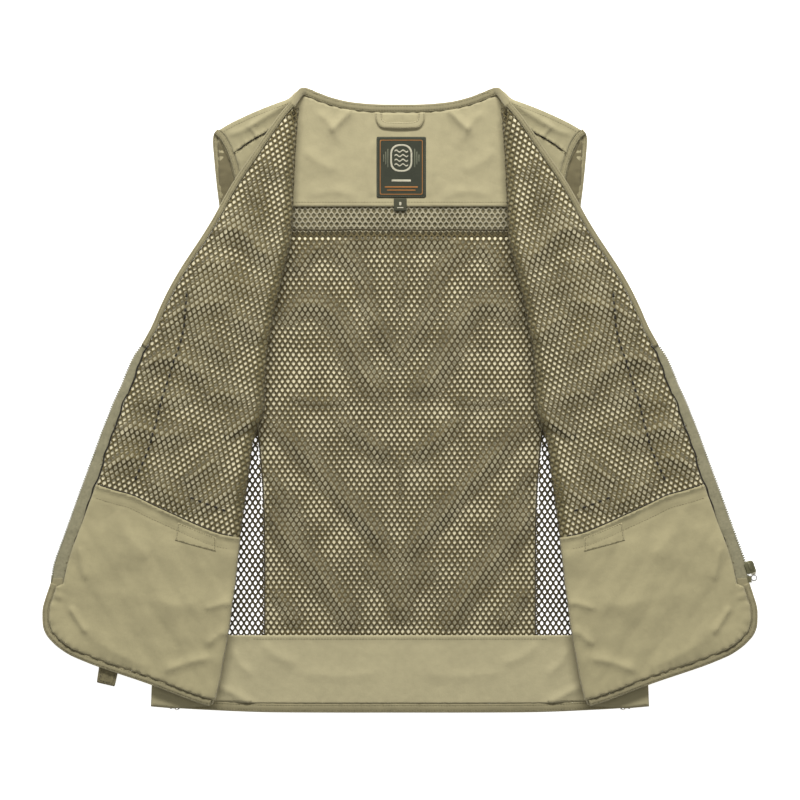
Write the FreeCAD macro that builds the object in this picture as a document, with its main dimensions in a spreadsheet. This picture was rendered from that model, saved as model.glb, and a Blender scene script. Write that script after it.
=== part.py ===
import FreeCAD, Part
import math
import os
import Sketcher

# Fishing vest, men's L/XL, laid on its back with both fronts folded outward.
# The inner side of the whole garment faces up. +Y points to the neck, +X to
# the wearer's left front (the one that carries the slider), +Z up. Every
# outline is given as (distance out from the centre line, height along Y) in
# millimetres for one half and is mirrored for the other half.

doc = FreeCAD.newDocument("fishing_vest")
sheet = doc.addObject("Spreadsheet::Sheet", "Sizes")
CELLS = [
    ("grade_across", 1.0),         # pattern grading, widths
    ("grade_along", 1.0),          # pattern grading, lengths
    ("shell_thick", 1.0),          # outer fabric with its seam allowances
    ("lining_thick", 1.0),         # knitted mesh lining
    ("facing_thick", 1.0),         # plain inner facings
    ("layer_gap", 0.3),            # air between two layers
    ("pocket_fabric_thick", 0.8),  # single fabric of the inner pocket
    ("binding_neck_width", 8.7),
    ("binding_edge_width", 6.5),
    ("binding_hem_width", 7.6),
    ("binding_back_hem_width", 9.8),
    ("binding_arm_width", 6.0),
    ("binding_thick", 3.0),
    ("front_binding_thick", 3.9),
    ("arm_binding_thick", 2.1),
    ("roll_height", 13.0),         # height of the fold's axis
    ("roll_tilt", 3.2),            # how far the folded front droops, degrees
    ("roll_clear", 1.5),           # from the fold axis to the first solid
    ("side_low", -5.4),            # fixed side part, under its lining
    ("side_shell_low", -4.3),
    ("front_low", 2.0),            # folded front, under its shell
    ("front_lining_low", 3.3),
    ("inner_pocket_low", 4.6),
    ("fastener_low", 5.4),
    ("fastener_thick", 0.5),
    ("front_binding_low", 1.7),
    ("tape_low", 3.0),
    ("tape_thick", 0.6),
    ("teeth_low", 2.4),
    ("teeth_thick", 2.0),
    ("teeth_width", 2.2),
    ("pin_low", 2.2),
    ("pin_thick", 2.4),
    ("box_low", 1.5),
    ("box_thick", 3.8),
    ("outer_pocket_low", -0.8),
    ("outer_pocket_thick", 2.7),
    ("pocket_zip_low", -1.9),
    ("pocket_zip_thick", 1.0),
    ("pocket_zip_width", 6.0),
    ("webbing_low", 0.2),
    ("webbing_thick", 1.4),
    ("label_width", 53.8),
    ("label_height", 66.3),
    ("label_thick", 0.5),
    ("tag_width", 14.0),
    ("tag_height", 14.0),
    ("tag_thick", 0.4),
    ("loop_thick", 0.8),
    ("loop_low", 3.4),
    ("slider_plate", 0.9),
    ("slider_channel", 2.7),
    ("slider_length", 13.6),
    ("slider_in", 2.7),            # reach of the slider over the teeth
    ("slider_out", 8.0),           # reach of the slider past the tape edge
    ("pull_thick", 0.9),
    ("pull_width", 4.6),
    ("pull_length", 6.4),
    ("pull_lean", 14.0),           # how far the pull hangs towards the fabric, degrees
    ("crease_radius", 1.9),
    ("crease_length", 660.0),
    ("crease_foot", 1.9),
    ("ring_radius", 3.0),
    ("ring_wire", 0.45),
]
for row, (alias, value) in enumerate(CELLS, 1):
    sheet.set("A%d" % row, alias)
    sheet.set("B%d" % row, str(value))
    sheet.setAlias("B%d" % row, alias)
doc.recompute()


def cell(alias):
    return float(sheet.get(alias))


# Outlines of the half pattern: (out, along).
PATTERN = {
    "neckline": [
        (0, 321.8), (23.4, 322), (40.8, 323.1), (58.2, 325.3), (75.5, 329.7), (88.6, 334.5),
        (98.4, 338.6), (106, 340.2),
    ],
    "shoulder": [
        (106, 340.2), (113.6, 335.3), (121.2, 328.3), (145.1, 318.7), (171.2, 307.6), (188.6, 298.9),
        (202.7, 290.2),
    ],
    "back_armhole": [
        (202.7, 290.2), (203.8, 284.3), (202.2, 260.3), (199.5, 233.2), (196.2, 206), (194, 178.8),
        (195.1, 149.5), (200.6, 116.9), (211.4, 84.2), (227.7, 59.2), (247.3, 42.9),
    ],
    "side_edge": [
        (247.3, 42.9), (253.8, -22.3), (258.2, -87.5), (262.5, -174.5), (267.9, -261.4), (271.2, -333.2),
    ],
    "hem_edge": [
        (271.2, -333.2), (244, -335.3), (206, -337.5), (151.6, -339.7), (75.5, -340.3), (0, -340.3),
    ],
    "back_side_seam": [
        (196.2, 149.5), (182.1, 97.3), (166.9, 32.1), (154.9, -33.2), (148.4, -109.2), (147.3, -185.3),
        (147.3, -259.2),
    ],
    "yoke_facing_low": [
        (0, 210.3), (108.2, 210.3), (192.9, 206),
    ],
    "yoke_shell_low": [
        (0, 177.7), (108.2, 177.7), (194, 173.4),
    ],
    "front_armhole": [
        (202.7, 290.2), (196.2, 284.3), (189.7, 273.4), (184.2, 259.2), (179.4, 240.8), (174.5, 216.9),
        (173.4, 192.9), (176.6, 162.5), (186.4, 127.7), (203.8, 90.8), (223.4, 62.5), (247.3, 42.9),
    ],
    "shoulder_seam_front": [
        (117.9, 328.3), (145.1, 318.7), (171.2, 307.6), (188.6, 298.9), (202.7, 290.2),
    ],
    "yoke_seam": [
        (188.1, 268.5), (165.8, 279.9), (144, 291.9), (124.5, 302.7),
    ],
    "fold_axis": [
        (115.8, 314.7), (207.6, -332.1),
    ],
    "vee_edge": [
        (118.5, 324.5), (132.1, 308.2), (146.7, 287.5), (163.6, 262.5), (178.3, 241.3), (190.8, 220.1),
        (202.7, 198.4), (214.7, 178.8), (225.6, 162.5), (236.4, 146.2), (246.2, 129.9), (254.9, 113.6),
        (262.5, 97.3), (270.1, 79.9), (281, 60.3),
    ],
    "zip_edge": [
        (281, 60.3), (289.7, 48.4), (297.3, 32.1), (303.8, 15.8), (311.4, -0.5), (317.9, -16.8),
        (324.5, -33.2), (330.4, -49.5), (336.4, -65.8), (342.4, -82.1), (348.4, -98.4), (354.3, -114.7),
        (360.1, -131), (366, -147.3), (372, -163.6), (377.4, -179.9), (379.9, -198.4),
    ],
    "zip_inner": [
        (278.3, 53.8), (283.2, 40.8), (290.2, 21.2), (296.8, 3.8), (306.5, -19), (319, -53.8),
        (328.8, -87.5), (344.6, -131), (360.3, -174.5), (365.8, -199.5),
    ],
    "corner_edge": [
        (379.9, -198.4), (384.8, -212.5), (388.6, -225.6), (389.1, -235.3), (388.1, -247.3), (384.3, -256),
        (378.8, -262.5), (372.3, -268.5), (360.3, -276.6), (342.9, -284.3), (325.6, -290.8), (299.5, -299.5),
        (273.4, -308.2), (256, -314.7), (237.5, -321.8), (221.2, -327.7), (206.5, -332.1),
    ],
    "pocket_mouth": [
        (329.9, -91.9), (309.3, -98.4), (289.7, -103.8), (265.8, -115.2), (240.8, -126.6), (219, -136.4),
        (196.2, -145.1), (179.9, -148.4),
    ],
    "cargo_pocket": [
        (321.2, -109.2), (196.2, -145.1), (236.4, -283.2), (361.4, -247.3),
    ],
    "chest_pocket": [
        (253.8, 59.2), (166.9, 34.2), (201.6, -87.5), (288.6, -62.5),
    ],
    "fastener_patch": [
        (240.8, -133.2), (198.9, -149.5), (199.5, -164.7), (244, -152.7),
    ],
    "webbing_tab": [
        (326.6, -285.3), (306, -292.4), (310.3, -311.4), (329.9, -307.1),
    ],
}

P = PATTERN


# ---------------------------------------------------------------- outlines
def beside(pts, width):
    """The line at a distance to the left of an open line (right if negative)."""
    res = []
    n = len(pts)
    for i, (x, y) in enumerate(pts):
        dirs = []
        if i > 0:
            dirs.append((x - pts[i - 1][0], y - pts[i - 1][1]))
        if i < n - 1:
            dirs.append((pts[i + 1][0] - x, pts[i + 1][1] - y))
        nrm = []
        for dx, dy in dirs:
            size = math.hypot(dx, dy)
            nrm.append((-dy / size, dx / size))
        mx = sum(v[0] for v in nrm) / len(nrm)
        my = sum(v[1] for v in nrm) / len(nrm)
        size = math.hypot(mx, my)
        mx, my = mx / size, my / size
        cosine = mx * nrm[0][0] + my * nrm[0][1]
        res.append((x + mx * width / cosine, y + my * width / cosine))
    return res


def at_height(pts, y):
    """The point of a line at a height along the garment."""
    for (x0, y0), (x1, y1) in zip(pts, pts[1:]):
        if (y0 - y) * (y1 - y) <= 0 and y0 != y1:
            k = (y - y0) / (y1 - y0)
            return (x0 + k * (x1 - x0), y)
    raise ValueError("the line doesn't reach %s" % y)


def between(pts, high, low):
    """The stretch of a descending line between two heights."""
    res = [at_height(pts, high)] if high < pts[0][1] else [pts[0]]
    res += [p for p in pts if low < p[1] < res[0][1]]
    res.append(at_height(pts, low) if low > pts[-1][1] else pts[-1])
    clean = [res[0]]
    for p in res[1:]:
        if math.hypot(p[0] - clean[-1][0], p[1] - clean[-1][1]) > 0.05:
            clean.append(p)
    return clean


def crossing(pts, a, b):
    """Where a line first crosses the straight line through a and b."""
    def side(p):
        return (b[0] - a[0]) * (p[1] - a[1]) - (b[1] - a[1]) * (p[0] - a[0])
    for i, (p, q) in enumerate(zip(pts, pts[1:])):
        s0, s1 = side(p), side(q)
        if s0 * s1 <= 0:
            k = s0 / (s0 - s1)
            return i, (p[0] + k * (q[0] - p[0]), p[1] + k * (q[1] - p[1]))
    raise ValueError("no crossing")


def tidy(pts):
    clean = []
    for p in pts:
        if not clean or math.hypot(p[0] - clean[-1][0], p[1] - clean[-1][1]) > 0.05:
            clean.append((p[0], p[1]))
    if math.hypot(clean[0][0] - clean[-1][0], clean[0][1] - clean[-1][1]) < 0.05:
        clean.pop()
    return clean


# The straight axis that each folded front turns about.
AX_TOP, AX_LOW = P["fold_axis"]
AX_LEN = math.hypot(AX_LOW[0] - AX_TOP[0], AX_LOW[1] - AX_TOP[1])
AX_DIR = ((AX_LOW[0] - AX_TOP[0]) / AX_LEN, (AX_LOW[1] - AX_TOP[1]) / AX_LEN)
AX_OUT = (-AX_DIR[1], AX_DIR[0])       # unit vector away from the centre line


def fold_point(y, away=None):
    """A point beside the fold axis at a height, on the outer side."""
    away = cell("roll_clear") if away is None else away
    k = (y - AX_TOP[1] - AX_OUT[1] * away) / AX_DIR[1]
    return (AX_TOP[0] + AX_DIR[0] * k + AX_OUT[0] * away, y)


def tilt(sign):
    """The droop of everything outside one fold, about the fold axis."""
    centre = FreeCAD.Vector(sign * AX_TOP[0], AX_TOP[1], cell("roll_height"))
    axis = FreeCAD.Vector(sign * AX_DIR[0], AX_DIR[1], 0)
    turn = FreeCAD.Rotation(axis, -sign * cell("roll_tilt"))
    out = turn.multVec(FreeCAD.Vector(sign * AX_OUT[0], AX_OUT[1], 0))
    if out.z > 0:
        turn = turn.inverted()
    return FreeCAD.Placement(FreeCAD.Vector(0, 0, 0), turn, centre)


# ------------------------------------------------------------------ panels
def fix(sk, geo, pos, x, y, names):
    """Ties one corner of a sketch to the origin through the grading cells."""
    for kind, value, grade in (("DistanceX", x, "grade_across"),
                               ("DistanceY", y, "grade_along")):
        if abs(value) < 0.02:
            sk.addConstraint(Sketcher.Constraint(
                "PointOnObject", geo, pos, -2 if kind == "DistanceX" else -1))
            continue
        if value > 0:
            i = sk.addConstraint(Sketcher.Constraint(kind, -1, 1, geo, pos, value))
        else:
            i = sk.addConstraint(Sketcher.Constraint(kind, geo, pos, -1, 1, -value))
        sk.setExpression("Constraints[%d]" % i, "%.3f * Sizes.%s" % (abs(value), grade))


def panel(label, outline, low, thick, lift="0", place=None):
    """One cut piece: a closed outline padded by its thickness."""
    outline = tidy(outline)
    body = doc.addObject("PartDesign::Body", label)
    body.Label = label
    plane = [f for f in body.Origin.OriginFeatures if f.Role == "XY_Plane"][0]
    sk = body.newObject("Sketcher::SketchObject", label + "_outline")
    sk.AttachmentSupport = [(plane, "")]
    sk.MapMode = "FlatFace"
    sk.setExpression(".AttachmentOffset.Base.z", "%s + %s" % (lift, low))
    n = len(outline)
    for i in range(n):
        a, b = outline[i], outline[(i + 1) % n]
        sk.addGeometry(Part.LineSegment(FreeCAD.Vector(a[0], a[1], 0),
                                        FreeCAD.Vector(b[0], b[1], 0)), False)
    for i in range(n):
        sk.addConstraint(Sketcher.Constraint("Coincident", i, 2, (i + 1) % n, 1))
    for i in range(n):
        fix(sk, i, 1, outline[i][0], outline[i][1], None)
    pad = body.newObject("PartDesign::Pad", label + "_pad")
    pad.Profile = sk
    pad.setExpression("Length", thick)
    body.Tip = pad
    if place is not None:
        body.Placement = place
    sub.append(body)
    return body


def half(pts, sign):
    return [(sign * x, y) for x, y in pts]


def whole(right):
    """A symmetrical outline from its right half, which starts and ends on the centre line."""
    left = [(-x, y) for x, y in reversed(right) if abs(x) > 0.02]
    return list(right) + left


sub = []
UP = "Sizes.roll_height"

neck_in = beside(P["neckline"], -cell("binding_neck_width"))
neck_in[0] = (0.0, neck_in[0][1])
arm_in = beside(P["back_armhole"], -cell("binding_arm_width"))
farm_in = beside(P["front_armhole"], -cell("binding_arm_width"))
HEM_TOP = -256.0

# Back: outer shell in two pieces, inner facing, mesh lining and hem facing.
yoke_low_y = P["yoke_shell_low"][0][1]
arm_to_yoke = between(arm_in, arm_in[0][1], P["yoke_shell_low"][2][1])
panel("back_yoke_shell",
      whole(neck_in + P["shoulder"][1:-1] + arm_to_yoke
            + [P["yoke_shell_low"][1], P["yoke_shell_low"][0]]),
      "0", "Sizes.shell_thick")

seam_top = at_height(arm_in, P["back_side_seam"][0][1])
side_seam = [seam_top] + P["back_side_seam"][1:]
side_seam = [p for p in side_seam if p[1] > HEM_TOP] + [(side_seam[-1][0], HEM_TOP)]
side_line = P["side_edge"]
hem_in = beside(P["hem_edge"], cell("binding_back_hem_width"))
hem_in = hem_in if hem_in[2][1] > P["hem_edge"][2][1] else beside(
    P["hem_edge"], -cell("binding_back_hem_width"))
hem_in[0] = (side_line[-1][0] - 0.7, hem_in[0][1])
hem_in[-1] = (0.0, hem_in[-1][1])
arm_mid = between(arm_in, P["yoke_shell_low"][2][1], P["back_side_seam"][0][1])
panel("back_lower_shell",
      whole([P["yoke_shell_low"][0], P["yoke_shell_low"][1]] + arm_mid + side_seam[1:]
            + [at_height(side_line, HEM_TOP)]
            + [p for p in side_line if hem_in[0][1] + 1 < p[1] < HEM_TOP]
            + hem_in),
      "0", "Sizes.shell_thick")

facing_y = P["yoke_facing_low"][2][1]
panel("back_yoke_facing",
      whole(neck_in + P["shoulder"][1:-1] + between(arm_in, arm_in[0][1], facing_y)
            + [P["yoke_facing_low"][1], P["yoke_facing_low"][0]]),
      "Sizes.shell_thick + Sizes.layer_gap", "Sizes.facing_thick")

arm_low = between(arm_in, facing_y, P["back_side_seam"][0][1])
panel("back_mesh_lining",
      whole([P["yoke_facing_low"][0], P["yoke_facing_low"][1]] + arm_low + side_seam[1:]
            + [(0.0, HEM_TOP)]),
      "Sizes.shell_thick + Sizes.layer_gap", "Sizes.lining_thick")

panel("back_hem_facing",
      whole([(0.0, HEM_TOP), at_height(side_line, HEM_TOP)]
            + [p for p in side_line if hem_in[0][1] + 1 < p[1] < HEM_TOP]
            + hem_in),
      "Sizes.shell_thick + Sizes.layer_gap", "Sizes.facing_thick")

panel("back_hem_binding",
      whole([(0.0, hem_in[-1][1])] + list(reversed(hem_in))[1:] + P["hem_edge"]),
      "0", "Sizes.binding_thick - 0.3")

panel("neck_binding",
      whole(P["neckline"] + list(reversed(neck_in))),
      "0", "Sizes.binding_thick")

arm_rest = between(arm_in, P["back_side_seam"][0][1], arm_in[-1][1])
for side, s in (("left", -1), ("right", 1)):
    panel("side_mesh_" + side,
          half(arm_rest + [(side_line[0][0] - 0.4, side_line[0][1] - 4.0)]
               + [p for p in side_line[1:] if p[1] > HEM_TOP]
               + [at_height(side_line, HEM_TOP), side_seam[-1]]
               + list(reversed(side_seam[1:-1])), s),
          "0", "Sizes.lining_thick")
    panel("back_armhole_binding_" + side,
          half(P["back_armhole"] + list(reversed(arm_in)), s),
          "0", "Sizes.arm_binding_thick + 0.3")

# Side part of each front: it stays on the back, outer side up, drooping from
# the fold to the side seam.
seam_y = P["yoke_seam"][0][1]
p_arm = at_height(farm_in, seam_y)
yoke_seam = [p_arm] + P["yoke_seam"][1:-1] + [fold_point(P["yoke_seam"][-1][1])]
shoulder = P["shoulder_seam_front"]
for side, s in (("left", -1), ("right", 1)):
    panel("shoulder_yoke_" + side,
          half([shoulder[0]] + shoulder[1:-1] + between(farm_in, farm_in[0][1], seam_y)
               + yoke_seam[1:] + [fold_point(shoulder[0][1] - 2.0)], s),
          "Sizes.side_shell_low", "Sizes.shell_thick", UP, tilt(s))
    under = (between(farm_in, seam_y, farm_in[-1][1])
             + [(side_line[0][0] - 0.4, side_line[0][1] - 4.0)] + side_line[1:]
             + [(271.2 - 25.0, P["hem_edge"][1][1]), fold_point(-332.5)])
    panel("front_side_shell_" + side,
          half(under + list(reversed(yoke_seam[1:])), s),
          "Sizes.side_shell_low", "Sizes.shell_thick", UP, tilt(s))
    panel("front_side_lining_" + side,
          half(under + list(reversed(yoke_seam[1:])), s),
          "Sizes.side_low", "Sizes.lining_thick", UP, tilt(s))
    panel("front_armhole_binding_" + side,
          half(P["front_armhole"] + list(reversed(farm_in)), s),
          "Sizes.side_low", "Sizes.arm_binding_thick", UP, tilt(s))

# Folded-out part of each front, inner side up.
vee = P["vee_edge"]
zip_edge = P["zip_edge"]
zip_in = P["zip_inner"]
corner = P["corner_edge"]


def inward(pts, width):
    """The line beside an edge on the side of the fold."""
    a, b = beside(pts, width), beside(pts, -width)
    return a if sum(p[0] for p in a) < sum(p[0] for p in b) else b


vee_in = inward(vee, cell("binding_edge_width"))
corner_in = beside(corner, cell("binding_hem_width"))
if corner_in[8][1] < corner[8][1]:
    corner_in = beside(corner, -cell("binding_hem_width"))
teeth_in = inward(zip_edge, cell("teeth_width"))
i_v, p_v = crossing(vee_in, fold_point(300.0), fold_point(0.0))
corner_in[-1] = fold_point(corner_in[-1][1])
corner_end = fold_point(corner[-1][1])
main = ([p_v] + vee_in[i_v + 1:] + zip_in[1:] + corner_in[1:])
mouth = P["pocket_mouth"]
TEETH_END = -191.0
for side, s in (("left", -1), ("right", 1)):
    pl = tilt(s)
    panel("front_shell_" + side, half(main, s),
          "Sizes.front_low", "Sizes.shell_thick", UP, pl)
    panel("front_mesh_lining_" + side, half(main, s),
          "Sizes.front_lining_low", "Sizes.lining_thick", UP, pl)
    panel("inner_pocket_" + side,
          half([(mouth[0][0] - 0.5, mouth[0][1])] + mouth[1:-1] + [fold_point(mouth[-1][1])]
               + list(reversed(corner_in[1:])) + list(reversed([q for q in zip_in if q[1] < mouth[0][1] - 3])), s),
          "Sizes.inner_pocket_low", "Sizes.pocket_fabric_thick", UP, pl)
    panel("pocket_fastener_" + side, half(P["fastener_patch"], s),
          "Sizes.fastener_low", "Sizes.fastener_thick", UP, pl)
    panel("vee_binding_" + side,
          half(vee + list(reversed(vee_in[i_v + 1:])) + [p_v, fold_point(vee[0][1] - 3.0)], s),
          "Sizes.front_binding_low", "Sizes.front_binding_thick", UP, pl)
    panel("hem_binding_" + side,
          half(corner[:-1] + [corner_end] + list(reversed(corner_in)), s),
          "Sizes.front_binding_low", "Sizes.front_binding_thick", UP, pl)
    panel("zip_tape_" + side,
          half(teeth_in + list(reversed(zip_in)), s),
          "Sizes.tape_low", "Sizes.tape_thick", UP, pl)
    panel("zip_teeth_" + side,
          half(between(zip_edge, zip_edge[0][1] - 3.0, TEETH_END)
               + list(reversed(between(teeth_in, teeth_in[0][1] - 4.0, TEETH_END))), s),
          "Sizes.teeth_low", "Sizes.teeth_thick", UP, pl)
    panel("cargo_pocket_" + side, half(P["cargo_pocket"], s),
          "Sizes.outer_pocket_low", "Sizes.outer_pocket_thick", UP, pl)
    panel("chest_pocket_" + side, half(P["chest_pocket"], s),
          "Sizes.outer_pocket_low", "Sizes.outer_pocket_thick", UP, pl)

stop_out = between(zip_edge, TEETH_END - 0.3, zip_edge[-1][1])
stop_in = between(teeth_in, TEETH_END - 0.3, teeth_in[-1][1])
panel("insertion_pin", half(stop_out + list(reversed(stop_in)), -1),
      "Sizes.pin_low", "Sizes.pin_thick", UP, tilt(-1))
panel("retainer_box",
      [(stop_out[0][0] + 2.6, stop_out[0][1]), (stop_out[-1][0] + 2.6, stop_out[-1][1]),
       (stop_out[-1][0] + 0.05, stop_out[-1][1]), (stop_out[0][0] + 0.05, stop_out[0][1])],
      "Sizes.box_low", "Sizes.box_thick", UP, tilt(1))
panel("retainer_pin", half(stop_out + list(reversed(stop_in)), 1),
      "Sizes.pin_low", "Sizes.pin_thick", UP, tilt(1))
panel("webbing_tab", half(P["webbing_tab"], -1),
      "Sizes.webbing_low", "Sizes.webbing_thick", UP, tilt(-1))

# The strip of shell and lining that turns at each fold: a roll on the fold
# axis with a foot down to the side part.
for side, s in (("left", -1), ("right", 1)):
    roll = doc.addObject("Part::Cylinder", "crease_roll_" + side)
    roll.setExpression("Radius", "Sizes.crease_radius")
    roll.setExpression("Height", "Sizes.crease_length")
    foot = doc.addObject("Part::Box", "crease_foot_" + side)
    foot.setExpression("Length", "Sizes.crease_foot")
    foot.setExpression("Width", "-Sizes.side_low")
    foot.setExpression("Height", "Sizes.crease_length")
    foot.setExpression(".Placement.Base.x", "-0.6" if s > 0 else "0.6 - Sizes.crease_foot")
    foot.setExpression(".Placement.Base.y", "Sizes.side_low")
    crease = doc.addObject("Part::MultiFuse", "front_crease_" + side)
    crease.Shapes = [roll, foot]
    crease.Label = "front_crease_" + side
    start = AX_TOP[0] + AX_DIR[0] * -8.0, AX_TOP[1] + AX_DIR[1] * -8.0
    z_dir = FreeCAD.Vector(s * AX_DIR[0], AX_DIR[1], 0)
    y_dir = FreeCAD.Vector(0, 0, 1)
    x_dir = y_dir.cross(z_dir)
    m = FreeCAD.Matrix(x_dir.x, y_dir.x, z_dir.x, s * start[0],
                       x_dir.y, y_dir.y, z_dir.y, start[1],
                       x_dir.z, y_dir.z, z_dir.z, cell("roll_height"),
                       0, 0, 0, 1)
    crease.Placement = tilt(s).multiply(FreeCAD.Placement(m))
    sub.append(crease)

# Neck label, size tag and hanger loop.
TOP_LAYER = "Sizes.shell_thick + Sizes.layer_gap + Sizes.facing_thick"


def rectangle(cx, top, width, height):
    return [(cx - width / 2, top), (cx + width / 2, top),
            (cx + width / 2, top - height), (cx - width / 2, top - height)]


panel("neck_label", rectangle(1.4, 286.4, cell("label_width"), cell("label_height")),
      TOP_LAYER, "Sizes.label_thick")
panel("size_tag", rectangle(0.3, 219.6, cell("tag_width"), cell("tag_height")),
      TOP_LAYER + " + Sizes.layer_gap", "Sizes.tag_thick")
panel("hanger_loop",
      [(-26.6, 312.2), (-19.6, 312.2), (-19.2, 305.0), (-16.5, 302.6), (17.0, 302.9),
       (19.4, 305.2), (20.0, 312.2), (26.6, 312.2), (26.1, 303.4), (20.5, 295.8),
       (-20.2, 296.6), (-25.6, 304.2)],
      "Sizes.loop_low", "Sizes.loop_thick")

# ------------------------------------------------------- sliders and pulls
# Main slider: two plates joined by a nose post, over the teeth on one side.
z_low = [p for p in zip_edge if p[1] < -180.0][0]
run_top, run_low = at_height(zip_edge, 0.0), at_height(zip_edge, -182.6)
run = math.hypot(run_top[0] - run_low[0], run_top[1] - run_low[1])
RUN = ((run_top[0] - run_low[0]) / run, (run_top[1] - run_low[1]) / run)


def local(sign, at, along, h):
    """A frame on the folded front: X out across the edge, Y along it, Z off the fabric."""
    y_axis = FreeCAD.Vector(sign * along[0], along[1], 0)
    z_axis = FreeCAD.Vector(0, 0, 1)
    x_axis = y_axis.cross(z_axis)
    m = FreeCAD.Matrix(x_axis.x, y_axis.x, z_axis.x, sign * at[0],
                       x_axis.y, y_axis.y, z_axis.y, at[1],
                       x_axis.z, y_axis.z, z_axis.z, cell("roll_height") + h,
                       0, 0, 0, 1)
    return tilt(sign).multiply(FreeCAD.Placement(m))


def block(name, exprs, pos):
    box = doc.addObject("Part::Box", name)
    for prop, e in zip(("Length", "Width", "Height"), exprs):
        box.setExpression(prop, e)
    for axis, e in zip("xyz", pos):
        box.setExpression(".Placement.Base." + axis, e)
    return box


plate_low = block("slider_plate_low",
                  ("Sizes.slider_in + Sizes.slider_out", "Sizes.slider_length", "Sizes.slider_plate"),
                  ("-Sizes.slider_in", "-Sizes.slider_length / 2", "0"))
plate_top = block("slider_plate_top",
                  ("Sizes.slider_in + Sizes.slider_out", "Sizes.slider_length", "Sizes.slider_plate"),
                  ("-Sizes.slider_in", "-Sizes.slider_length / 2", "Sizes.slider_plate + Sizes.slider_channel"))
post = block("slider_post", ("1.7", "4.4", "Sizes.slider_channel + 1"),
             ("(Sizes.slider_out - Sizes.slider_in) / 2 - 0.85", "Sizes.slider_length / 2 - 4.6", "Sizes.slider_plate - 0.5"))
bridge = doc.addObject("Part::Cylinder", "slider_bridge")
bridge.setExpression("Radius", "1.0")
bridge.setExpression("Height", "Sizes.pull_thick + 0.9")
bridge.setExpression(".Placement.Base.x", "Sizes.slider_out - 2.6")
bridge.setExpression(".Placement.Base.y", "-Sizes.slider_length / 2 + 1.6")
bridge.setExpression(".Placement.Base.z", "-(Sizes.pull_thick + 0.6)")
slider = doc.addObject("Part::MultiFuse", "zip_slider")
slider.Shapes = [plate_low, plate_top, post, bridge]
slider.Label = "zip_slider"
SL_H = cell("teeth_low") + cell("teeth_thick") / 2 - cell("slider_channel") / 2 - cell("slider_plate")
slider.Placement = local(1, run_low, RUN, SL_H)
sub.append(slider)

# Pull: a small plate that swivels on the slider's bridge post, and its ring.
tab = block("pull_plate", ("Sizes.pull_width", "Sizes.pull_length", "Sizes.pull_thick"),
            ("-Sizes.pull_width / 2", "1.9 - Sizes.pull_length", "0"))
eye = doc.addObject("Part::Cylinder", "pull_eye")
eye.setExpression("Radius", "1.3")
eye.setExpression("Height", "Sizes.pull_thick + 2")
eye.setExpression(".Placement.Base.z", "-1")
pull = doc.addObject("Part::Cut", "pull_tab")
pull.Base = tab
pull.Tool = eye
pull.Label = "pull_tab"
pivot = (run_low[0], run_low[1])
px = cell("slider_out") - 2.6
py = -cell("slider_length") / 2 + 1.6
pivot_place = local(1, run_low, RUN, SL_H).multiply(
    FreeCAD.Placement(FreeCAD.Vector(px, py, -(cell("pull_thick") + 0.3)),
                      FreeCAD.Rotation(FreeCAD.Vector(0, 0, 1), -cell("pull_lean"))))
pull.Placement = pivot_place
sub.append(pull)
ring = doc.addObject("Part::Torus", "pull_ring")
ring.setExpression("Radius1", "Sizes.ring_radius")
ring.setExpression("Radius2", "Sizes.ring_wire")
ring.Label = "pull_ring"
ring.Placement = pivot_place.multiply(FreeCAD.Placement(
    FreeCAD.Vector(0, 1.9 - cell("pull_length") - cell("ring_radius") - cell("ring_wire") - 0.05,
                   cell("pull_thick") / 2), FreeCAD.Rotation()))
sub.append(ring)

# Outer pockets: a coil zip along each mouth and a slider that runs on it.
ZIPS = {"cargo": ((307.0, -121.5), 103.0), "chest": ((245.0, 45.2), 70.0)}
ALONG = (-math.cos(math.radians(16.1)), -math.sin(math.radians(16.1)))
for side, s in (("left", -1), ("right", 1)):
    for kind, (start, length) in ZIPS.items():
        end = (start[0] + ALONG[0] * length, start[1] + ALONG[1] * length)
        w = cell("pocket_zip_width") / 2
        nx, ny = -ALONG[1] * w, ALONG[0] * w
        panel("%s_zip_%s" % (kind, side),
              half([(start[0] + nx, start[1] + ny), (end[0] + nx, end[1] + ny),
                    (end[0] - nx, end[1] - ny), (start[0] - nx, start[1] - ny)], s),
              "Sizes.pocket_zip_low", "Sizes.pocket_zip_thick", UP, tilt(s))
        at = (start[0] + ALONG[0] * 7.0, start[1] + ALONG[1] * 7.0)
        name = "%s_slider_%s" % (kind, side)
        cap = block(name + "_cap", ("Sizes.pocket_zip_width + 2.6", "9.0", "1.8"),
                    ("-(Sizes.pocket_zip_width + 2.6) / 2", "-4.5", "0"))
        slot = block(name + "_slot", ("Sizes.pocket_zip_width + 0.6", "12.0", "3.0"),
                     ("-(Sizes.pocket_zip_width + 0.6) / 2", "-6.0", "0.8"))
        cut = doc.addObject("Part::Cut", name)
        cut.Base = cap
        cut.Tool = slot
        cut.Label = name
        cut.Placement = local(s, at, ALONG, -3.0)
        sub.append(cut)

# ------------------------------------------------------------------ export
doc.recompute()
bad = []
for obj in doc.Objects:
    if "Invalid" in obj.State or "Error" in obj.State:
        bad.append("%s %s" % (obj.Name, obj.State))
for obj in sub:
    if obj.Shape.isNull() or not obj.Shape.isValid() or obj.Shape.Volume < 1.0:
        bad.append("%s has no valid shape" % obj.Label)
    elif len(obj.Shape.Solids) != 1:
        bad.append("%s has %d solids" % (obj.Label, len(obj.Shape.Solids)))
if bad:
    raise SystemExit("; ".join(bad))
os.makedirs("parts", exist_ok=True)
for old in os.listdir("parts"):
    if old.endswith(".step"):
        os.remove(os.path.join("parts", old))
box = FreeCAD.BoundBox()
for obj in sub:
    obj.Shape.exportStep(os.path.join("parts", obj.Label + ".step"))
    box.add(obj.Shape.BoundBox)
print(len(sub), "nodes", box)
place = tilt(1)
print("hinge point", AX_TOP[0], AX_TOP[1], cell("roll_height"), "direction", AX_DIR)
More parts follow.
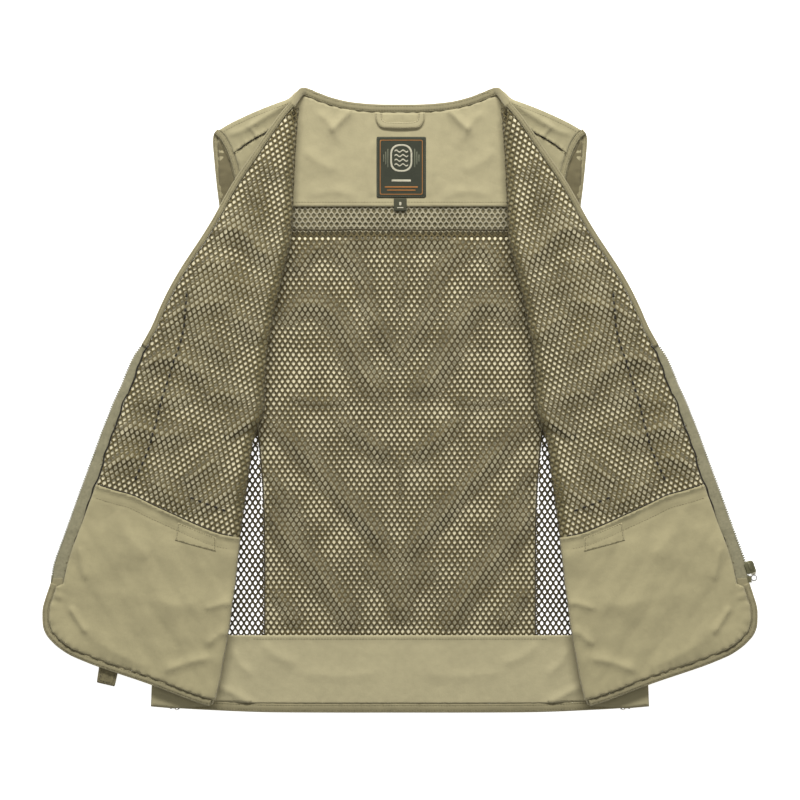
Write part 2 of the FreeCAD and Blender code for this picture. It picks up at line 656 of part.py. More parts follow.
print("slider run, right", place.Rotation.multVec(FreeCAD.Vector(RUN[0], RUN[1], 0)))
print("pull pivot", pivot_place.Base, "axis", pivot_place.Rotation.multVec(FreeCAD.Vector(0, 0, 1)))
for s in (-1, 1):
    print("pocket zip run", s, tilt(s).Rotation.multVec(FreeCAD.Vector(s * ALONG[0], ALONG[1], 0)))


def closed(p):
    """Where a point of the front lies once the front is closed."""
    v = (p[0] - AX_TOP[0], p[1] - AX_TOP[1])
    k = v[0] * AX_DIR[0] + v[1] * AX_DIR[1]
    return (AX_TOP[0] + 2 * k * AX_DIR[0] - v[0], AX_TOP[1] + 2 * k * AX_DIR[1] - v[1])


print("closed edge", [tuple(round(c, 1) for c in closed(p)) for p in (zip_edge[::3] + corner[::4])])
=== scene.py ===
import math

import bmesh
import bpy
import numpy as np
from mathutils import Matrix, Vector, geometry

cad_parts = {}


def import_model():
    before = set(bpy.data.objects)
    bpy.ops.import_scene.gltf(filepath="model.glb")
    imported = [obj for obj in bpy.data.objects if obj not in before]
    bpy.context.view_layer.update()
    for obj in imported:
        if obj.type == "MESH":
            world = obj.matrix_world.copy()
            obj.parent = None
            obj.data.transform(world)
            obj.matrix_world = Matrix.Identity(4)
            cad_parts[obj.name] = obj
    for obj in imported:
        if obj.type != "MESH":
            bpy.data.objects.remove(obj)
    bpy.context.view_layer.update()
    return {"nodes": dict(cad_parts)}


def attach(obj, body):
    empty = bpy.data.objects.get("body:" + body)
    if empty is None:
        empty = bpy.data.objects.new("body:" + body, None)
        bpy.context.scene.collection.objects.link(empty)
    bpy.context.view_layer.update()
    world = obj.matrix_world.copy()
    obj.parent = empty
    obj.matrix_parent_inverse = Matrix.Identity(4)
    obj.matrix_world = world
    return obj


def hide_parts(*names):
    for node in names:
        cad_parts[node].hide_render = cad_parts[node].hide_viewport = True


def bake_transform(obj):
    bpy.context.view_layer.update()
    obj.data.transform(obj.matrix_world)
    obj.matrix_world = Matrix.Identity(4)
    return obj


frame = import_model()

NODES = frame["nodes"]
K = 0.001          # lengths below are millimetres; the scene is metres

# ------------------------------------------------------------------ pattern
# Cut lines of the right half, (distance from the centre line, height along the garment).
P = {
    "neckline": [
        (0, 321.8), (23.4, 322), (40.8, 323.1), (58.2, 325.3), (75.5, 329.7), (88.6, 334.5),
        (98.4, 338.6), (106, 340.2),
    ],
    "shoulder": [
        (106, 340.2), (113.6, 335.3), (121.2, 328.3), (145.1, 318.7), (171.2, 307.6), (188.6, 298.9),
        (202.7, 290.2),
    ],
    "back_armhole": [
        (202.7, 290.2), (203.8, 284.3), (202.2, 260.3), (199.5, 233.2), (196.2, 206), (194, 178.8),
        (195.1, 149.5), (200.6, 116.9), (211.4, 84.2), (227.7, 59.2), (247.3, 42.9),
    ],
    "side_edge": [
        (247.3, 42.9), (253.8, -22.3), (258.2, -87.5), (262.5, -174.5), (267.9, -261.4), (271.2, -333.2),
    ],
    "hem_edge": [
        (271.2, -333.2), (244, -335.3), (206, -337.5), (151.6, -339.7), (75.5, -340.3), (0, -340.3),
    ],
    "back_side_seam": [
        (196.2, 149.5), (182.1, 97.3), (166.9, 32.1), (154.9, -33.2), (148.4, -109.2), (147.3, -185.3),
        (147.3, -259.2),
    ],
    "yoke_facing_low": [
        (0, 210.3), (108.2, 210.3), (192.9, 206),
    ],
    "yoke_shell_low": [
        (0, 177.7), (108.2, 177.7), (194, 173.4),
    ],
    "front_armhole": [
        (202.7, 290.2), (196.2, 284.3), (189.7, 273.4), (184.2, 259.2), (179.4, 240.8), (174.5, 216.9),
        (173.4, 192.9), (176.6, 162.5), (186.4, 127.7), (203.8, 90.8), (223.4, 62.5), (247.3, 42.9),
    ],
    "shoulder_seam_front": [
        (117.9, 328.3), (145.1, 318.7), (171.2, 307.6), (188.6, 298.9), (202.7, 290.2),
    ],
    "yoke_seam": [
        (188.1, 268.5), (165.8, 279.9), (144, 291.9), (124.5, 302.7),
    ],
    "fold_axis": [
        (115.8, 314.7), (207.6, -332.1),
    ],
    "vee_edge": [
        (118.5, 324.5), (132.1, 308.2), (146.7, 287.5), (163.6, 262.5), (178.3, 241.3), (190.8, 220.1),
        (202.7, 198.4), (214.7, 178.8), (225.6, 162.5), (236.4, 146.2), (246.2, 129.9), (254.9, 113.6),
        (262.5, 97.3), (270.1, 79.9), (281, 60.3),
    ],
    "zip_edge": [
        (281, 60.3), (289.7, 48.4), (297.3, 32.1), (303.8, 15.8), (311.4, -0.5), (317.9, -16.8),
        (324.5, -33.2), (330.4, -49.5), (336.4, -65.8), (342.4, -82.1), (348.4, -98.4), (354.3, -114.7),
        (360.1, -131), (366, -147.3), (372, -163.6), (377.4, -179.9), (379.9, -198.4),
    ],
    "zip_inner": [
        (278.3, 53.8), (283.2, 40.8), (290.2, 21.2), (296.8, 3.8), (306.5, -19), (319, -53.8),
        (328.8, -87.5), (344.6, -131), (360.3, -174.5), (365.8, -199.5),
    ],
    "corner_edge": [
        (379.9, -198.4), (384.8, -212.5), (388.6, -225.6), (389.1, -235.3), (388.1, -247.3), (384.3, -256),
        (378.8, -262.5), (372.3, -268.5), (360.3, -276.6), (342.9, -284.3), (325.6, -290.8), (299.5, -299.5),
        (273.4, -308.2), (256, -314.7), (237.5, -321.8), (221.2, -327.7), (206.5, -332.1),
    ],
    "pocket_mouth": [
        (329.9, -91.9), (309.3, -98.4), (289.7, -103.8), (265.8, -115.2), (240.8, -126.6), (219, -136.4),
        (196.2, -145.1), (179.9, -148.4),
    ],
    "cargo_pocket": [
        (321.2, -109.2), (196.2, -145.1), (236.4, -283.2), (361.4, -247.3),
    ],
    "chest_pocket": [
        (253.8, 59.2), (166.9, 34.2), (201.6, -87.5), (288.6, -62.5),
    ],
    "fastener_patch": [
        (240.8, -133.2), (198.9, -149.5), (199.5, -164.7), (244, -152.7),
    ],
    "webbing_tab": [
        (326.6, -285.3), (306, -292.4), (310.3, -311.4), (329.9, -307.1),
    ],
}
P = {k: np.array(v, float) for k, v in P.items()}

AXT, AXL = P["fold_axis"]
AXLEN = float(np.linalg.norm(AXL - AXT))
AXD = (AXL - AXT) / AXLEN
AXO = np.array([-AXD[1], AXD[0]])
TILT = math.radians(3.2)
CT, ST = math.cos(TILT), math.sin(TILT)
ROLL_Z = 13.0


def sv(p):
    d = np.asarray(p, float) - AXT
    return d @ AXO, d @ AXD


def v_of(y):
    return (AXT[1] - np.asarray(y, float)) / -AXD[1]


def world(s, v, h):
    """A point beside the fold, in the drooping plane, as (out, along, up)."""
    s, v, h = np.broadcast_arrays(np.asarray(s, float), np.asarray(v, float), np.asarray(h, float))
    f = s * CT + h * ST
    p = AXT + f[..., None] * AXO + v[..., None] * AXD
    return np.concatenate([p, (ROLL_Z - s * ST + h * CT)[..., None]], -1)


# ------------------------------------------------------------------- curves
def resample(pts, step=None, n=None):
    pts = np.asarray(pts, float)
    d = np.r_[0, np.cumsum(np.linalg.norm(np.diff(pts, axis=0), axis=1))]
    keep = np.r_[True, np.diff(d) > 1e-6]
    pts, d = pts[keep], d[keep]
    if n is None:
        n = max(2, int(round(d[-1] / step)) + 1)
    t = np.linspace(0, d[-1], n)
    return np.stack([np.interp(t, d, pts[:, i]) for i in range(pts.shape[1])], 1)


def smooth(pts, step=2.0):
    """A rounded line through the points."""
    p = np.asarray(pts, float)
    if len(p) < 3:
        return resample(p, step)
    q = np.vstack([2 * p[0] - p[1], p, 2 * p[-1] - p[-2]])
    out = []
    for i in range(1, len(q) - 2):
        p0, p1, p2, p3 = q[i - 1:i + 3]
        d1 = max(np.linalg.norm(p1 - p0) ** 0.5, 1e-3)
        d2 = max(np.linalg.norm(p2 - p1) ** 0.5, 1e-3)
        d3 = max(np.linalg.norm(p3 - p2) ** 0.5, 1e-3)
        m1 = d2 * ((p1 - p0) / d1 - (p2 - p0) / (d1 + d2) + (p2 - p1) / d2)
        m2 = d2 * ((p2 - p1) / d2 - (p3 - p1) / (d2 + d3) + (p3 - p2) / d3)
        for t in np.linspace(0, 1, 9)[:-1]:
            a = 2 * t ** 3 - 3 * t ** 2 + 1
            b = t ** 3 - 2 * t ** 2 + t
            c = -2 * t ** 3 + 3 * t ** 2
            e = t ** 3 - t ** 2
            out.append(a * p1 + b * m1 + c * p2 + e * m2)
    out.append(p[-1])
    return resample(out, step)


def beside(line, d):
    t = np.gradient(line, axis=0)
    t /= np.maximum(np.linalg.norm(t, axis=1), 1e-9)[:, None]
    return line + np.stack([-t[:, 1], t[:, 0]], 1) * d


def inward(line, d):
    a, b = beside(line, d), beside(line, -d)
    return a if a[:, 0].sum() < b[:, 0].sum() else b


def at_height(line, y):
    for p, q in zip(line[:-1], line[1:]):
        if (p[1] - y) * (q[1] - y) <= 0 and p[1] != q[1]:
            return p + (q - p) * ((y - p[1]) / (q[1] - p[1]))
    return line[0] if abs(line[0][1] - y) < abs(line[-1][1] - y) else line[-1]


def between(line, high, low):
    inside = [p for p in line if low < p[1] < high]
    first = at_height(line, high) if line[0][1] > high else line[0]
    last = at_height(line, low) if line[-1][1] < low else line[-1]
    res = [first] + [p for p in inside if np.linalg.norm(p - first) > 0.4 and np.linalg.norm(p - last) > 0.4] + [last]
    return np.array(res)


def cat(*lines):
    pts = np.vstack([np.atleast_2d(l) for l in lines])
    keep = [0]
    for i in range(1, len(pts)):
        if np.linalg.norm(pts[i] - pts[keep[-1]]) > 0.25:
            keep.append(i)
    if np.linalg.norm(pts[keep[0]] - pts[keep[-1]]) < 0.25:
        keep.pop()
    return pts[keep]


def whole(right):
    left = right[::-1] * [-1, 1]
    return cat(right, left)


def inside(poly, pts):
    x, y = pts[:, 0], pts[:, 1]
    res = np.zeros(len(pts), bool)
    a, b = poly, np.roll(poly, -1, 0)
    for (x0, y0), (x1, y1) in zip(a, b):
        if y0 == y1:
            continue
        hit = ((y0 > y) != (y1 > y)) & (x < (x1 - x0) * (y - y0) / (y1 - y0) + x0)
        res ^= hit
    return res


def distance(line, pts, closed=False):
    """Distance of each point from a line, and the signed side of the nearest stretch."""
    best = np.full(len(pts), 1e9)
    share = np.zeros(len(pts))
    segs = list(zip(line[:-1], line[1:])) + ([(line[-1], line[0])] if closed else [])
    lens = np.r_[0, np.cumsum([np.linalg.norm(q - p) for p, q in segs])]
    for i, (p, q) in enumerate(segs):
        d = q - p
        t = np.clip(((pts - p) @ d) / max(d @ d, 1e-9), 0, 1)
        r = np.linalg.norm(pts - (p + t[:, None] * d), axis=1)
        better = r < best
        best[better] = r[better]
        share[better] = (lens[i] + t[better] * np.linalg.norm(d)) / lens[-1]
    return best, share


def waves(pts, seed, length, n=7):
    """Smooth unevenness between about -1 and 1, the same every run."""
    rng = np.random.RandomState(seed)
    res = np.zeros(len(pts))
    for _ in range(n):
        a = rng.uniform(0, 2 * math.pi)
        k = 2 * math.pi / (length * rng.uniform(0.65, 1.6))
        res += np.sin((pts[:, 0] * math.cos(a) + pts[:, 1] * math.sin(a)) * k + rng.uniform(0, 6.28))
    return res / math.sqrt(n) / 1.2


def ridges(pts, table):
    """Sum of folds: each is a line, its height and its half width."""
    q = np.stack([np.abs(pts[:, 0]), pts[:, 1]], 1)
    res = np.zeros(len(pts))
    for line, amp, w in table:
        line = np.array(line, float)
        lo, hi = line.min(0) - 3.2 * w, line.max(0) + 3.2 * w
        near = np.all((q > lo) & (q < hi), axis=1)
        if not near.any():
            continue
        d, t = distance(smooth(line, 4.0), q[near])
        taper = np.clip(np.minimum(t, 1 - t) / 0.16, 0, 1) ** 0.6
        res[near] += amp * (0.25 + 0.75 * taper) * np.exp(-(d / w) ** 1.45)
    return res


# ---------------------------------------------------------------- materials
def lin(rgb, k=1.0):
    return tuple(min(1.0, k * (c / 12.92 if c <= 0.04045 else ((c + 0.055) / 1.055) ** 2.4))
                 for c in (v / 255 for v in rgb)) + (1.0,)


class Nodes:
    def __init__(self, name):
        self.mat = bpy.data.materials.new(name)
        self.mat.use_nodes = True
        self.t = self.mat.node_tree
        self.bsdf = self.t.nodes["Principled BSDF"]
        self.co = self.add("ShaderNodeTexCoord").outputs["Object"]

    def add(self, kind, **props):
        n = self.t.nodes.new(kind)
        for k, v in props.items():
            setattr(n, k, v)
        return n

    def link(self, a, b):
        self.t.links.new(a, b)

    def noise(self, scale, detail=3.0, rough=0.55, co=None):
        n = self.add("ShaderNodeTexNoise")
        n.inputs["Scale"].default_value = scale
        n.inputs["Detail"].default_value = detail
        n.inputs["Roughness"].default_value = rough
        self.link(co or self.co, n.inputs["Vector"])
        return n.outputs["Fac"]

    def wave(self, scale, turn=0.0, distort=0.6, co=None, axis="X"):
        m = self.add("ShaderNodeMapping")
        m.inputs["Rotation"].default_value[2] = turn
        self.link(co or self.co, m.inputs["Vector"])
        n = self.add("ShaderNodeTexWave", bands_direction=axis)
        n.inputs["Scale"].default_value = scale
        n.inputs["Distortion"].default_value = distort
        n.inputs["Detail"].default_value = 1.0
        self.link(m.outputs["Vector"], n.inputs["Vector"])
        return n.outputs["Fac"]

    def math(self, op, a, b=None):
        n = self.add("ShaderNodeMath", operation=op)
        for i, v in enumerate((a, b)):
            if v is None:
                continue
            if isinstance(v, (int, float)):
                n.inputs[i].default_value = v
            else:
                self.link(v, n.inputs[i])
        return n.outputs[0]

    def ramp(self, fac, stops):
        n = self.add("ShaderNodeValToRGB")
        e = n.color_ramp.elements
        e[0].position, e[0].color = stops[0]
        e[1].position, e[1].color = stops[-1]
        for pos, col in stops[1:-1]:
            x = e.new(pos)
            x.color = col
        self.link(fac, n.inputs["Fac"])
        return n.outputs["Color"]

    def mix(self, fac, a, b, mode="MIX"):
        n = self.add("ShaderNodeMix", data_type="RGBA", blend_type=mode)
        for sock, v in (("Factor", fac), ("A", a), ("B", b)):
            i = [s for s in n.inputs if s.name == sock and (sock == "Factor" and s.type == "VALUE" or sock != "Factor" and s.type == "RGBA")][0]
            if isinstance(v, (int, float, tuple)):
                i.default_value = v
            else:
                self.link(v, i)
        return [o for o in n.outputs if o.type == "RGBA"][0]

    def bump(self, height, strength, dist, chain=None):
        n = self.add("ShaderNodeBump")
        n.inputs["Strength"].default_value = strength
        n.inputs["Distance"].default_value = dist
        self.link(height, n.inputs["Height"])
        if chain is not None:
            self.link(chain, n.inputs["Normal"])
        return n.outputs["Normal"]

    def done(self, color, normal, rough=0.85, sheen=0.0, spec=0.3, metal=0.0, roughsock=None):
        b = self.bsdf
        self.link(color, b.inputs["Base Color"])
        self.link(normal, b.inputs["Normal"])
        b.inputs["Roughness"].default_value = rough
        if roughsock is not None:
            self.link(roughsock, b.inputs["Roughness"])
        b.inputs["Sheen Weight"].default_value = sheen
        b.inputs["Sheen Roughness"].default_value = 0.6
        b.inputs["Specular IOR Level"].default_value = spec
        b.inputs["Metallic"].default_value = metal
        return self.mat


GAIN = 0.80        # the light on a level surface is a little over one


def plain_cloth(name, rgb, weave=0.45, mottled=0.035, fine=0.05, rough=0.82, sheen=0.15, spec=0.28, crease=0.0):
    """Woven fabric: fine warp and weft, slubs and soft uneven shade."""
    n = Nodes(name)
    scale = 0.314 / (weave * K)
    warp, weft = n.wave(scale, 0.0, 0.8), n.wave(scale, math.pi / 2, 0.8)
    cloth = n.math("MAXIMUM", warp, weft)
    big, mid, tiny = n.noise(22, 4), n.noise(120, 3), n.noise(1400, 2)
    shade = n.math("ADD", n.math("MULTIPLY", big, 0.55), n.math("MULTIPLY", mid, 0.45))
    lo, hi = lin(rgb, GAIN * (1 - 2.2 * mottled)), lin(rgb, GAIN * (1 + 2.2 * mottled))
    col = n.ramp(shade, [(0.30, lo), (0.70, hi)])
    grain = n.ramp(tiny, [(0.25, (1 - 2 * fine,) * 3 + (1,)), (0.75, (1 + 0.0,) * 3 + (1,))])
    col = n.mix(0.85, col, grain, "MULTIPLY")
    # painted shade: the gaps between warp and weft threads are darkened in the colour, besides the bump
    thread = n.ramp(cloth, [(0.35, (0.88, 0.88, 0.86, 1)), (0.9, (1, 1, 1, 1))])
    col = n.mix(0.7, col, thread, "MULTIPLY")
    nrm = n.bump(cloth, 0.35, weave * 0.25 * K)
    nrm = n.bump(mid, 0.25, 0.6 * K, nrm)
    nrm = n.bump(n.noise(45, 4, 0.6), 0.30, 2.2 * K, nrm)
    return n.done(col, nrm, rough, sheen, spec)


def knit(name, rgb, lift=1.0):
    """Warp-knit mesh yarn: small loops along each strand, with painted shade darkening the valleys between them."""
    n = Nodes(name)
    a, b = n.wave(0.314 / (0.9 * K), 0.7, 2.0), n.wave(0.314 / (0.9 * K), -0.7, 2.0)
    loops = n.math("MULTIPLY", a, b)
    tone = n.noise(30, 3)
    col = n.ramp(tone, [(0.3, lin(rgb, GAIN * 0.86)), (0.7, lin(rgb, GAIN * 1.16))])
    # painted shade: the low parts of the loop pattern are darkened in the colour
    valley_shade = n.ramp(loops, [(0.0, (0.70, 0.69, 0.66, 1)), (0.55, (1, 1, 1, 1))])
    col = n.mix(0.9, col, valley_shade, "MULTIPLY")
    speck = n.ramp(n.noise(900, 2), [(0.35, (0.86, 0.86, 0.86, 1)), (0.65, (1, 1, 1, 1))])
    col = n.mix(1.0, col, speck, "MULTIPLY")
    nrm = n.bump(loops, 0.5, 0.3 * K)
    nrm = n.bump(n.noise(700, 2), 0.3, 0.2 * K, nrm)
    return n.done(col, nrm, 0.78, 0.12, 0.3)


def ribbed(name, rgb, pitch=0.9, turn=0.0, mottled=0.08, rough=0.8):
    """Woven tape or webbing: ribs across, flecks of a second yarn."""
    n = Nodes(name)
    rib = n.wave(0.314 / (pitch * K), turn, 1.2)
    cross = n.wave(0.314 / (pitch * 1.7 * K), turn + math.pi / 2, 1.2)
    both = n.math("ADD", n.math("MULTIPLY", rib, 0.65), n.math("MULTIPLY", cross, 0.35))
    fleck = n.noise(330, 3, 0.65)
    col = n.ramp(fleck, [(0.34, lin(rgb, GAIN * (1 - 2.4 * mottled))), (0.66, lin(rgb, GAIN * (1 + 2.4 * mottled)))])
    # painted shade: the troughs between ribs are darkened in the colour, besides the bump
    dark = n.ramp(both, [(0.1, (0.80, 0.80, 0.79, 1)), (0.75, (1, 1, 1, 1))])
    col = n.mix(0.8, col, dark, "MULTIPLY")
    nrm = n.bump(both, 0.5, 0.25 * K)
    nrm = n.bump(n.noise(90, 3), 0.3, 1.2 * K, nrm)
    return n.done(col, nrm, rough, 0.1, 0.3)


def coated_metal(name, rgb, rough=0.38, metal=0.55, worn=(150, 146, 120)):
    """Painted die-cast metal, rubbed along the edges."""
    n = Nodes(name)
    geo = n.add("ShaderNodeNewGeometry").outputs["Pointiness"]
    edge = n.ramp(geo, [(0.50, (0, 0, 0, 1)), (0.58, (1, 1, 1, 1))])
    grime = n.noise(600, 4)
    base = n.ramp(grime, [(0.3, lin(rgb, 0.85)), (0.7, lin(rgb, 1.15))])
    rub = n.math("MULTIPLY", edge, n.noise(900, 2))
    col = n.mix(rub, base, lin(worn))
    nrm = n.bump(grime, 0.15, 0.08 * K)
    r = n.ramp(grime, [(0.3, (rough - 0.08,) * 3 + (1,)), (0.7, (rough + 0.12,) * 3 + (1,))])
    return n.done(col, nrm, rough, 0.0, 0.5, metal, r)


def moulded(name, rgb, rough=0.42):
    """Moulded plastic: faint flow marks and a fine satin grain."""
    n = Nodes(name)
    flow, grain = n.noise(140, 3), n.noise(2400, 2)
    col = n.ramp(flow, [(0.3, lin(rgb, 0.9)), (0.7, lin(rgb, 1.1))])
    nrm = n.bump(grain, 0.2, 0.05 * K)
    r = n.ramp(grain, [(0.3, (rough - 0.06,) * 3 + (1,)), (0.7, (rough + 0.1,) * 3 + (1,))])
    return n.done(col, nrm, rough, 0.0, 0.45, 0.0, r)


def hook_pile(name, rgb):
    n = Nodes(name)
    v = n.add("ShaderNodeTexVoronoi")
    v.inputs["Scale"].default_value = 900
    n.link(n.co, v.inputs["Vector"])
    col = n.ramp(v.outputs["Distance"], [(0.05, lin(rgb, GAIN * 1.05)), (0.6, lin(rgb, GAIN * 0.8))])
    nrm = n.bump(v.outputs["Distance"], 0.8, 0.5 * K)
    nrm = n.bump(n.noise(500, 3), 0.4, 0.4 * K, nrm)
    return n.done(col, nrm, 0.95, 0.3, 0.1)


SHELL = (190, 180, 141)
M = {
    "facing": plain_cloth("yoke_facing_fabric", (179, 169, 131)),
    # the shell's inner face, brightened well above its own khaki (SHELL): painted light where it shows through the
    # net's holes
    "shell": plain_cloth("shell_inner_face_painted_light", (240, 230, 192)),
    "outer": plain_cloth("outer_shell_fabric", (168, 159, 122)),
    "pocket": plain_cloth("pocket_fabric", (176, 166, 126)),
    "hem": plain_cloth("hem_fabric", (187, 177, 138)),
    # a dark copy of the khaki cloth: painted shade for hollows, under the vent and inside the armholes
    "dim": plain_cloth("painted_shade_fabric", (112, 103, 72)),
    "binding": plain_cloth("binding_fabric", (153, 144, 109), weave=0.6, mottled=0.05),
    # near-black cloth: painted shadow inside the pocket openings
    "mouth": plain_cloth("pocket_mouth_painted_shadow", (62, 55, 36)),
    # a lighter copy of the binding cloth for lit binding edges: painted highlight; no piece uses it
    "rim": plain_cloth("binding_edge_painted_highlight", (176, 168, 132), weave=0.6),
    "knit": knit("mesh_knit", (104, 91, 50)),
    "knit_vent": knit("mesh_knit_vent", (186, 178, 148)),
    "knit_front": knit("mesh_knit_front", (108, 96, 54)),
    "knit_side": knit("mesh_knit_side", (74, 64, 36)),
    "tape": ribbed("zip_tape_weave", (150, 144, 114), 1.0, 0.36, 0.05),
    "web": ribbed("webbing_weave", (124, 115, 82), 1.4, 1.2, 0.1),
    "teeth": moulded("zip_teeth_moulded", (92, 90, 62)),
    "pin": moulded("zip_pin_moulded", (96, 92, 64)),
    "slider": coated_metal("slider_painted_metal", (86, 84, 55)),
    "pull": coated_metal("pull_light_metal", (170, 165, 138), 0.42, 0.35, (214, 210, 190)),
    "ring": coated_metal("ring_wire_metal", (58, 54, 40), 0.35, 0.8),
    "thread": ribbed("sewing_thread", (122, 113, 80), 0.35, 0.0, 0.05),
    # dark thread for real stitches, also used for painted shadow strips at the zip tape's inner edge and the yoke seam
    "dark_thread_and_shade": ribbed("sewing_dark_thread_and_painted_shade", (40, 34, 20), 0.35, 0.0, 0.05),
    "label": plain_cloth("label_weave", (52, 55, 38), weave=0.5, mottled=0.1, fine=0.08),
    "label_line": plain_cloth("label_line_weave", (170, 112, 52), weave=0.4),
    "label_pale": plain_cloth("label_motif_weave", (196, 190, 166), weave=0.4),
    "label_mid": plain_cloth("label_motif_mid", (112, 114, 92), weave=0.4),
    "tag": plain_cloth("size_tag_weave", (66, 66, 46), weave=0.5, mottled=0.1),
    "hook": hook_pile("hook_loop_pile", (168, 158, 121)),
}


# ----------------------------------------------------------------- building
def make(name, verts, faces, mat, sign=1, flat=False, face=None):
    """A mesh object from millimetre points; sign -1 mirrors it to the left side."""
    v = np.array(verts, float) * K
    if sign < 0:
        v[:, 0] *= -1
    me = bpy.data.meshes.new(name)
    if isinstance(faces, np.ndarray):
        f = faces[:, ::-1] if sign < 0 else faces
        n, k = f.shape
        me.vertices.add(len(v))
        me.vertices.foreach_set("co", v.astype(np.float32).ravel())
        me.loops.add(n * k)
        me.loops.foreach_set("vertex_index", f.astype(np.int32).ravel())
        me.polygons.add(n)
        me.polygons.foreach_set("loop_start", np.arange(0, n * k, k, dtype=np.int32))
        me.polygons.foreach_set("loop_total", np.full(n, k, np.int32))
        me.update(calc_edges=True)
    else:
        if sign < 0:
            faces = [tuple(reversed(x)) for x in faces]
        me.from_pydata(v.tolist(), [], [tuple(int(i) for i in x) for x in faces])
    me.validate()
    me.polygons.foreach_set("use_smooth", [not flat] * len(me.polygons))
    me.materials.append(mat)
    if face is not None:                       # (second material, first face, last face)
        me.materials.append(face[0])
        idx = np.zeros(len(me.polygons), np.int32)
        idx[face[1]:face[2]] = 1
        me.polygons.foreach_set("material_index", idx)
    ob = bpy.data.objects.new(name, me)
    bpy.context.scene.collection.objects.link(ob)
    return ob


def join_parts(parts):
    """One list of points and faces from several."""
    vs, fs, n = [], [], 0
    for v, f in parts:
        vs.append(np.asarray(v, float))
        fs += [tuple(int(i) + n for i in x) for x in f]
        n += len(v)
    return np.vstack(vs), fs


def triangulate(outline, step, extra=None):
    """Even triangles inside an outline, with its edge kept."""
    edge = np.vstack([resample(np.vstack([a, b]), step)[:-1] for a, b in zip(outline, np.roll(outline, -1, 0))])
    lo, hi = edge.min(0), edge.max(0)
    rows = np.arange(lo[1], hi[1], step * 0.866)
    grid = []
    for i, y in enumerate(rows):
        x = np.arange(lo[0] + (step / 2 if i % 2 else 0), hi[0], step)
        grid.append(np.stack([x, np.full(len(x), y)], 1))
    grid = np.vstack(grid)
    grid = grid[inside(edge, grid)]
    d, _ = distance(edge, grid, True)
    grid = grid[d > step * 0.55]
    pts = np.vstack([edge, grid])
    loop = [(i, (i + 1) % len(edge)) for i in range(len(edge))]
    v, _, f, _, _, _ = geometry.delaunay_2d_cdt([Vector(p) for p in pts], loop, [], 1, 1e-5)
    v = np.array([tuple(p) for p in v], float)
    f = np.array([tuple(t) for t in f if len(t) == 3], int)
    a, b, c = v[f[:, 0]], v[f[:, 1]], v[f[:, 2]]
    turn = (b[:, 0] - a[:, 0]) * (c[:, 1] - a[:, 1]) - (b[:, 1] - a[:, 1]) * (c[:, 0] - a[:, 0])
    f = f[np.abs(turn) > 1e-7]
    turn = turn[np.abs(turn) > 1e-7]
    f[turn < 0] = f[turn < 0][:, ::-1]
    return v, f


def slab(flat, tris, top, bottom):
    """Closed cloth from a top and a bottom surface over the same triangles."""
    n = len(flat)
    edges = {}
    for t in tris:
        for i in range(3):
            edges[(t[i], t[(i + 1) % 3])] = True
    rim = [(a, b) for (a, b) in edges if (b, a) not in edges]
    faces = [tuple(t) for t in tris] + [(t[2] + n, t[1] + n, t[0] + n) for t in tris]
    faces += [(b, a, a + n, b + n) for a, b in rim]
    return np.vstack([top, bottom]), faces


def level(flat, z):
    return np.column_stack([flat, z])


MADE = {}


def finish_piece(ob, body, nodes=()):
    if body:
        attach(ob, body)
    if nodes:
        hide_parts(*nodes)
    MADE[ob.name] = ob
    return ob


def cloth(ob, outline, held, rests, going=(), share=1.0):
    """Takes a cut piece and the outline it was cut to, and does nothing with them."""


def flat_panel(name, outline, zfun, thick, mat, step, body="root", nodes=(), sign=1, top_mat=None):
    v, f = triangulate(outline, step)
    z = zfun(v)
    verts, faces = slab(v, f, level(v, z), level(v, z - thick))
    ob = make(name, verts, faces, mat, sign, face=(top_mat, 0, len(f)) if top_mat else None)
    return finish_piece(ob, body, nodes)


def tilt_panel(name, outline, hfun, thick, mat, step, body, nodes=(), sign=1):
    v, f = triangulate(outline, step)
    s, w = sv(v)
    h = hfun(v)
    verts, faces = slab(v, f, world(s, w, h), world(s, w, h - thick))
    ob = make(name, verts, faces, mat, sign)
    return finish_piece(ob, body, nodes)


# Cross section of everything that turns over the fold. The height along the
# garment picks how far the cloth bulges in past the axis and how it puffs up.
BULGE_Y = np.array([316.9, 303.8, 265.8, 211.4, 173.4, 142.9, 97.3, 53.8, 21.2, -9.2, -19, -26.6, -35.3, -50.5, -77.7, -109.2, -148.4, -246.2, -304.9, -332.1])
BULGE_R = np.array([5.92, 6.46, 9.04, 14.53, 18.51, 15.07, 10.76, 9.15, 11.62, 15.28, 14.2, 11.3, 9.25, 7.21, 7.86, 7.96, 8.07, 10.01, 7.53, 4.84])
PUFF_Y = np.array([316.9, 271.2, 216.9, 173.4, 129.9, 86.4, 32.1, -6, -20.1, -35.3, -109.2, -152.7, -261.4, -332.1])
PUFF_H = np.array([0.6, 1.5, 3, 4.4, 3.2, 2, 3.4, 4.6, 3.2, 0.6, 0.5, 0, 0, 0])


def bulge(v):
    y = AXT[1] + AXD[1] * v
    r = np.interp(-y, -BULGE_Y, BULGE_R)
    p = np.interp(-y, -PUFF_Y, PUFF_H)
    return r, p


def fold_turn(v, top, h_low, less=0.0):
    """How a layer goes round: its bulge, the turn's half width, its centre, its length and the puff above it."""
    r, puff = bulge(v)
    r = np.maximum(r - less, 2.6)
    rx = np.minimum(r, 6.5 - less)
    sc = -(r - rx)
    ry = (top + puff - h_low) / 2
    return sc, rx, ry, math.pi * np.sqrt((rx ** 2 + ry ** 2) / 2), puff


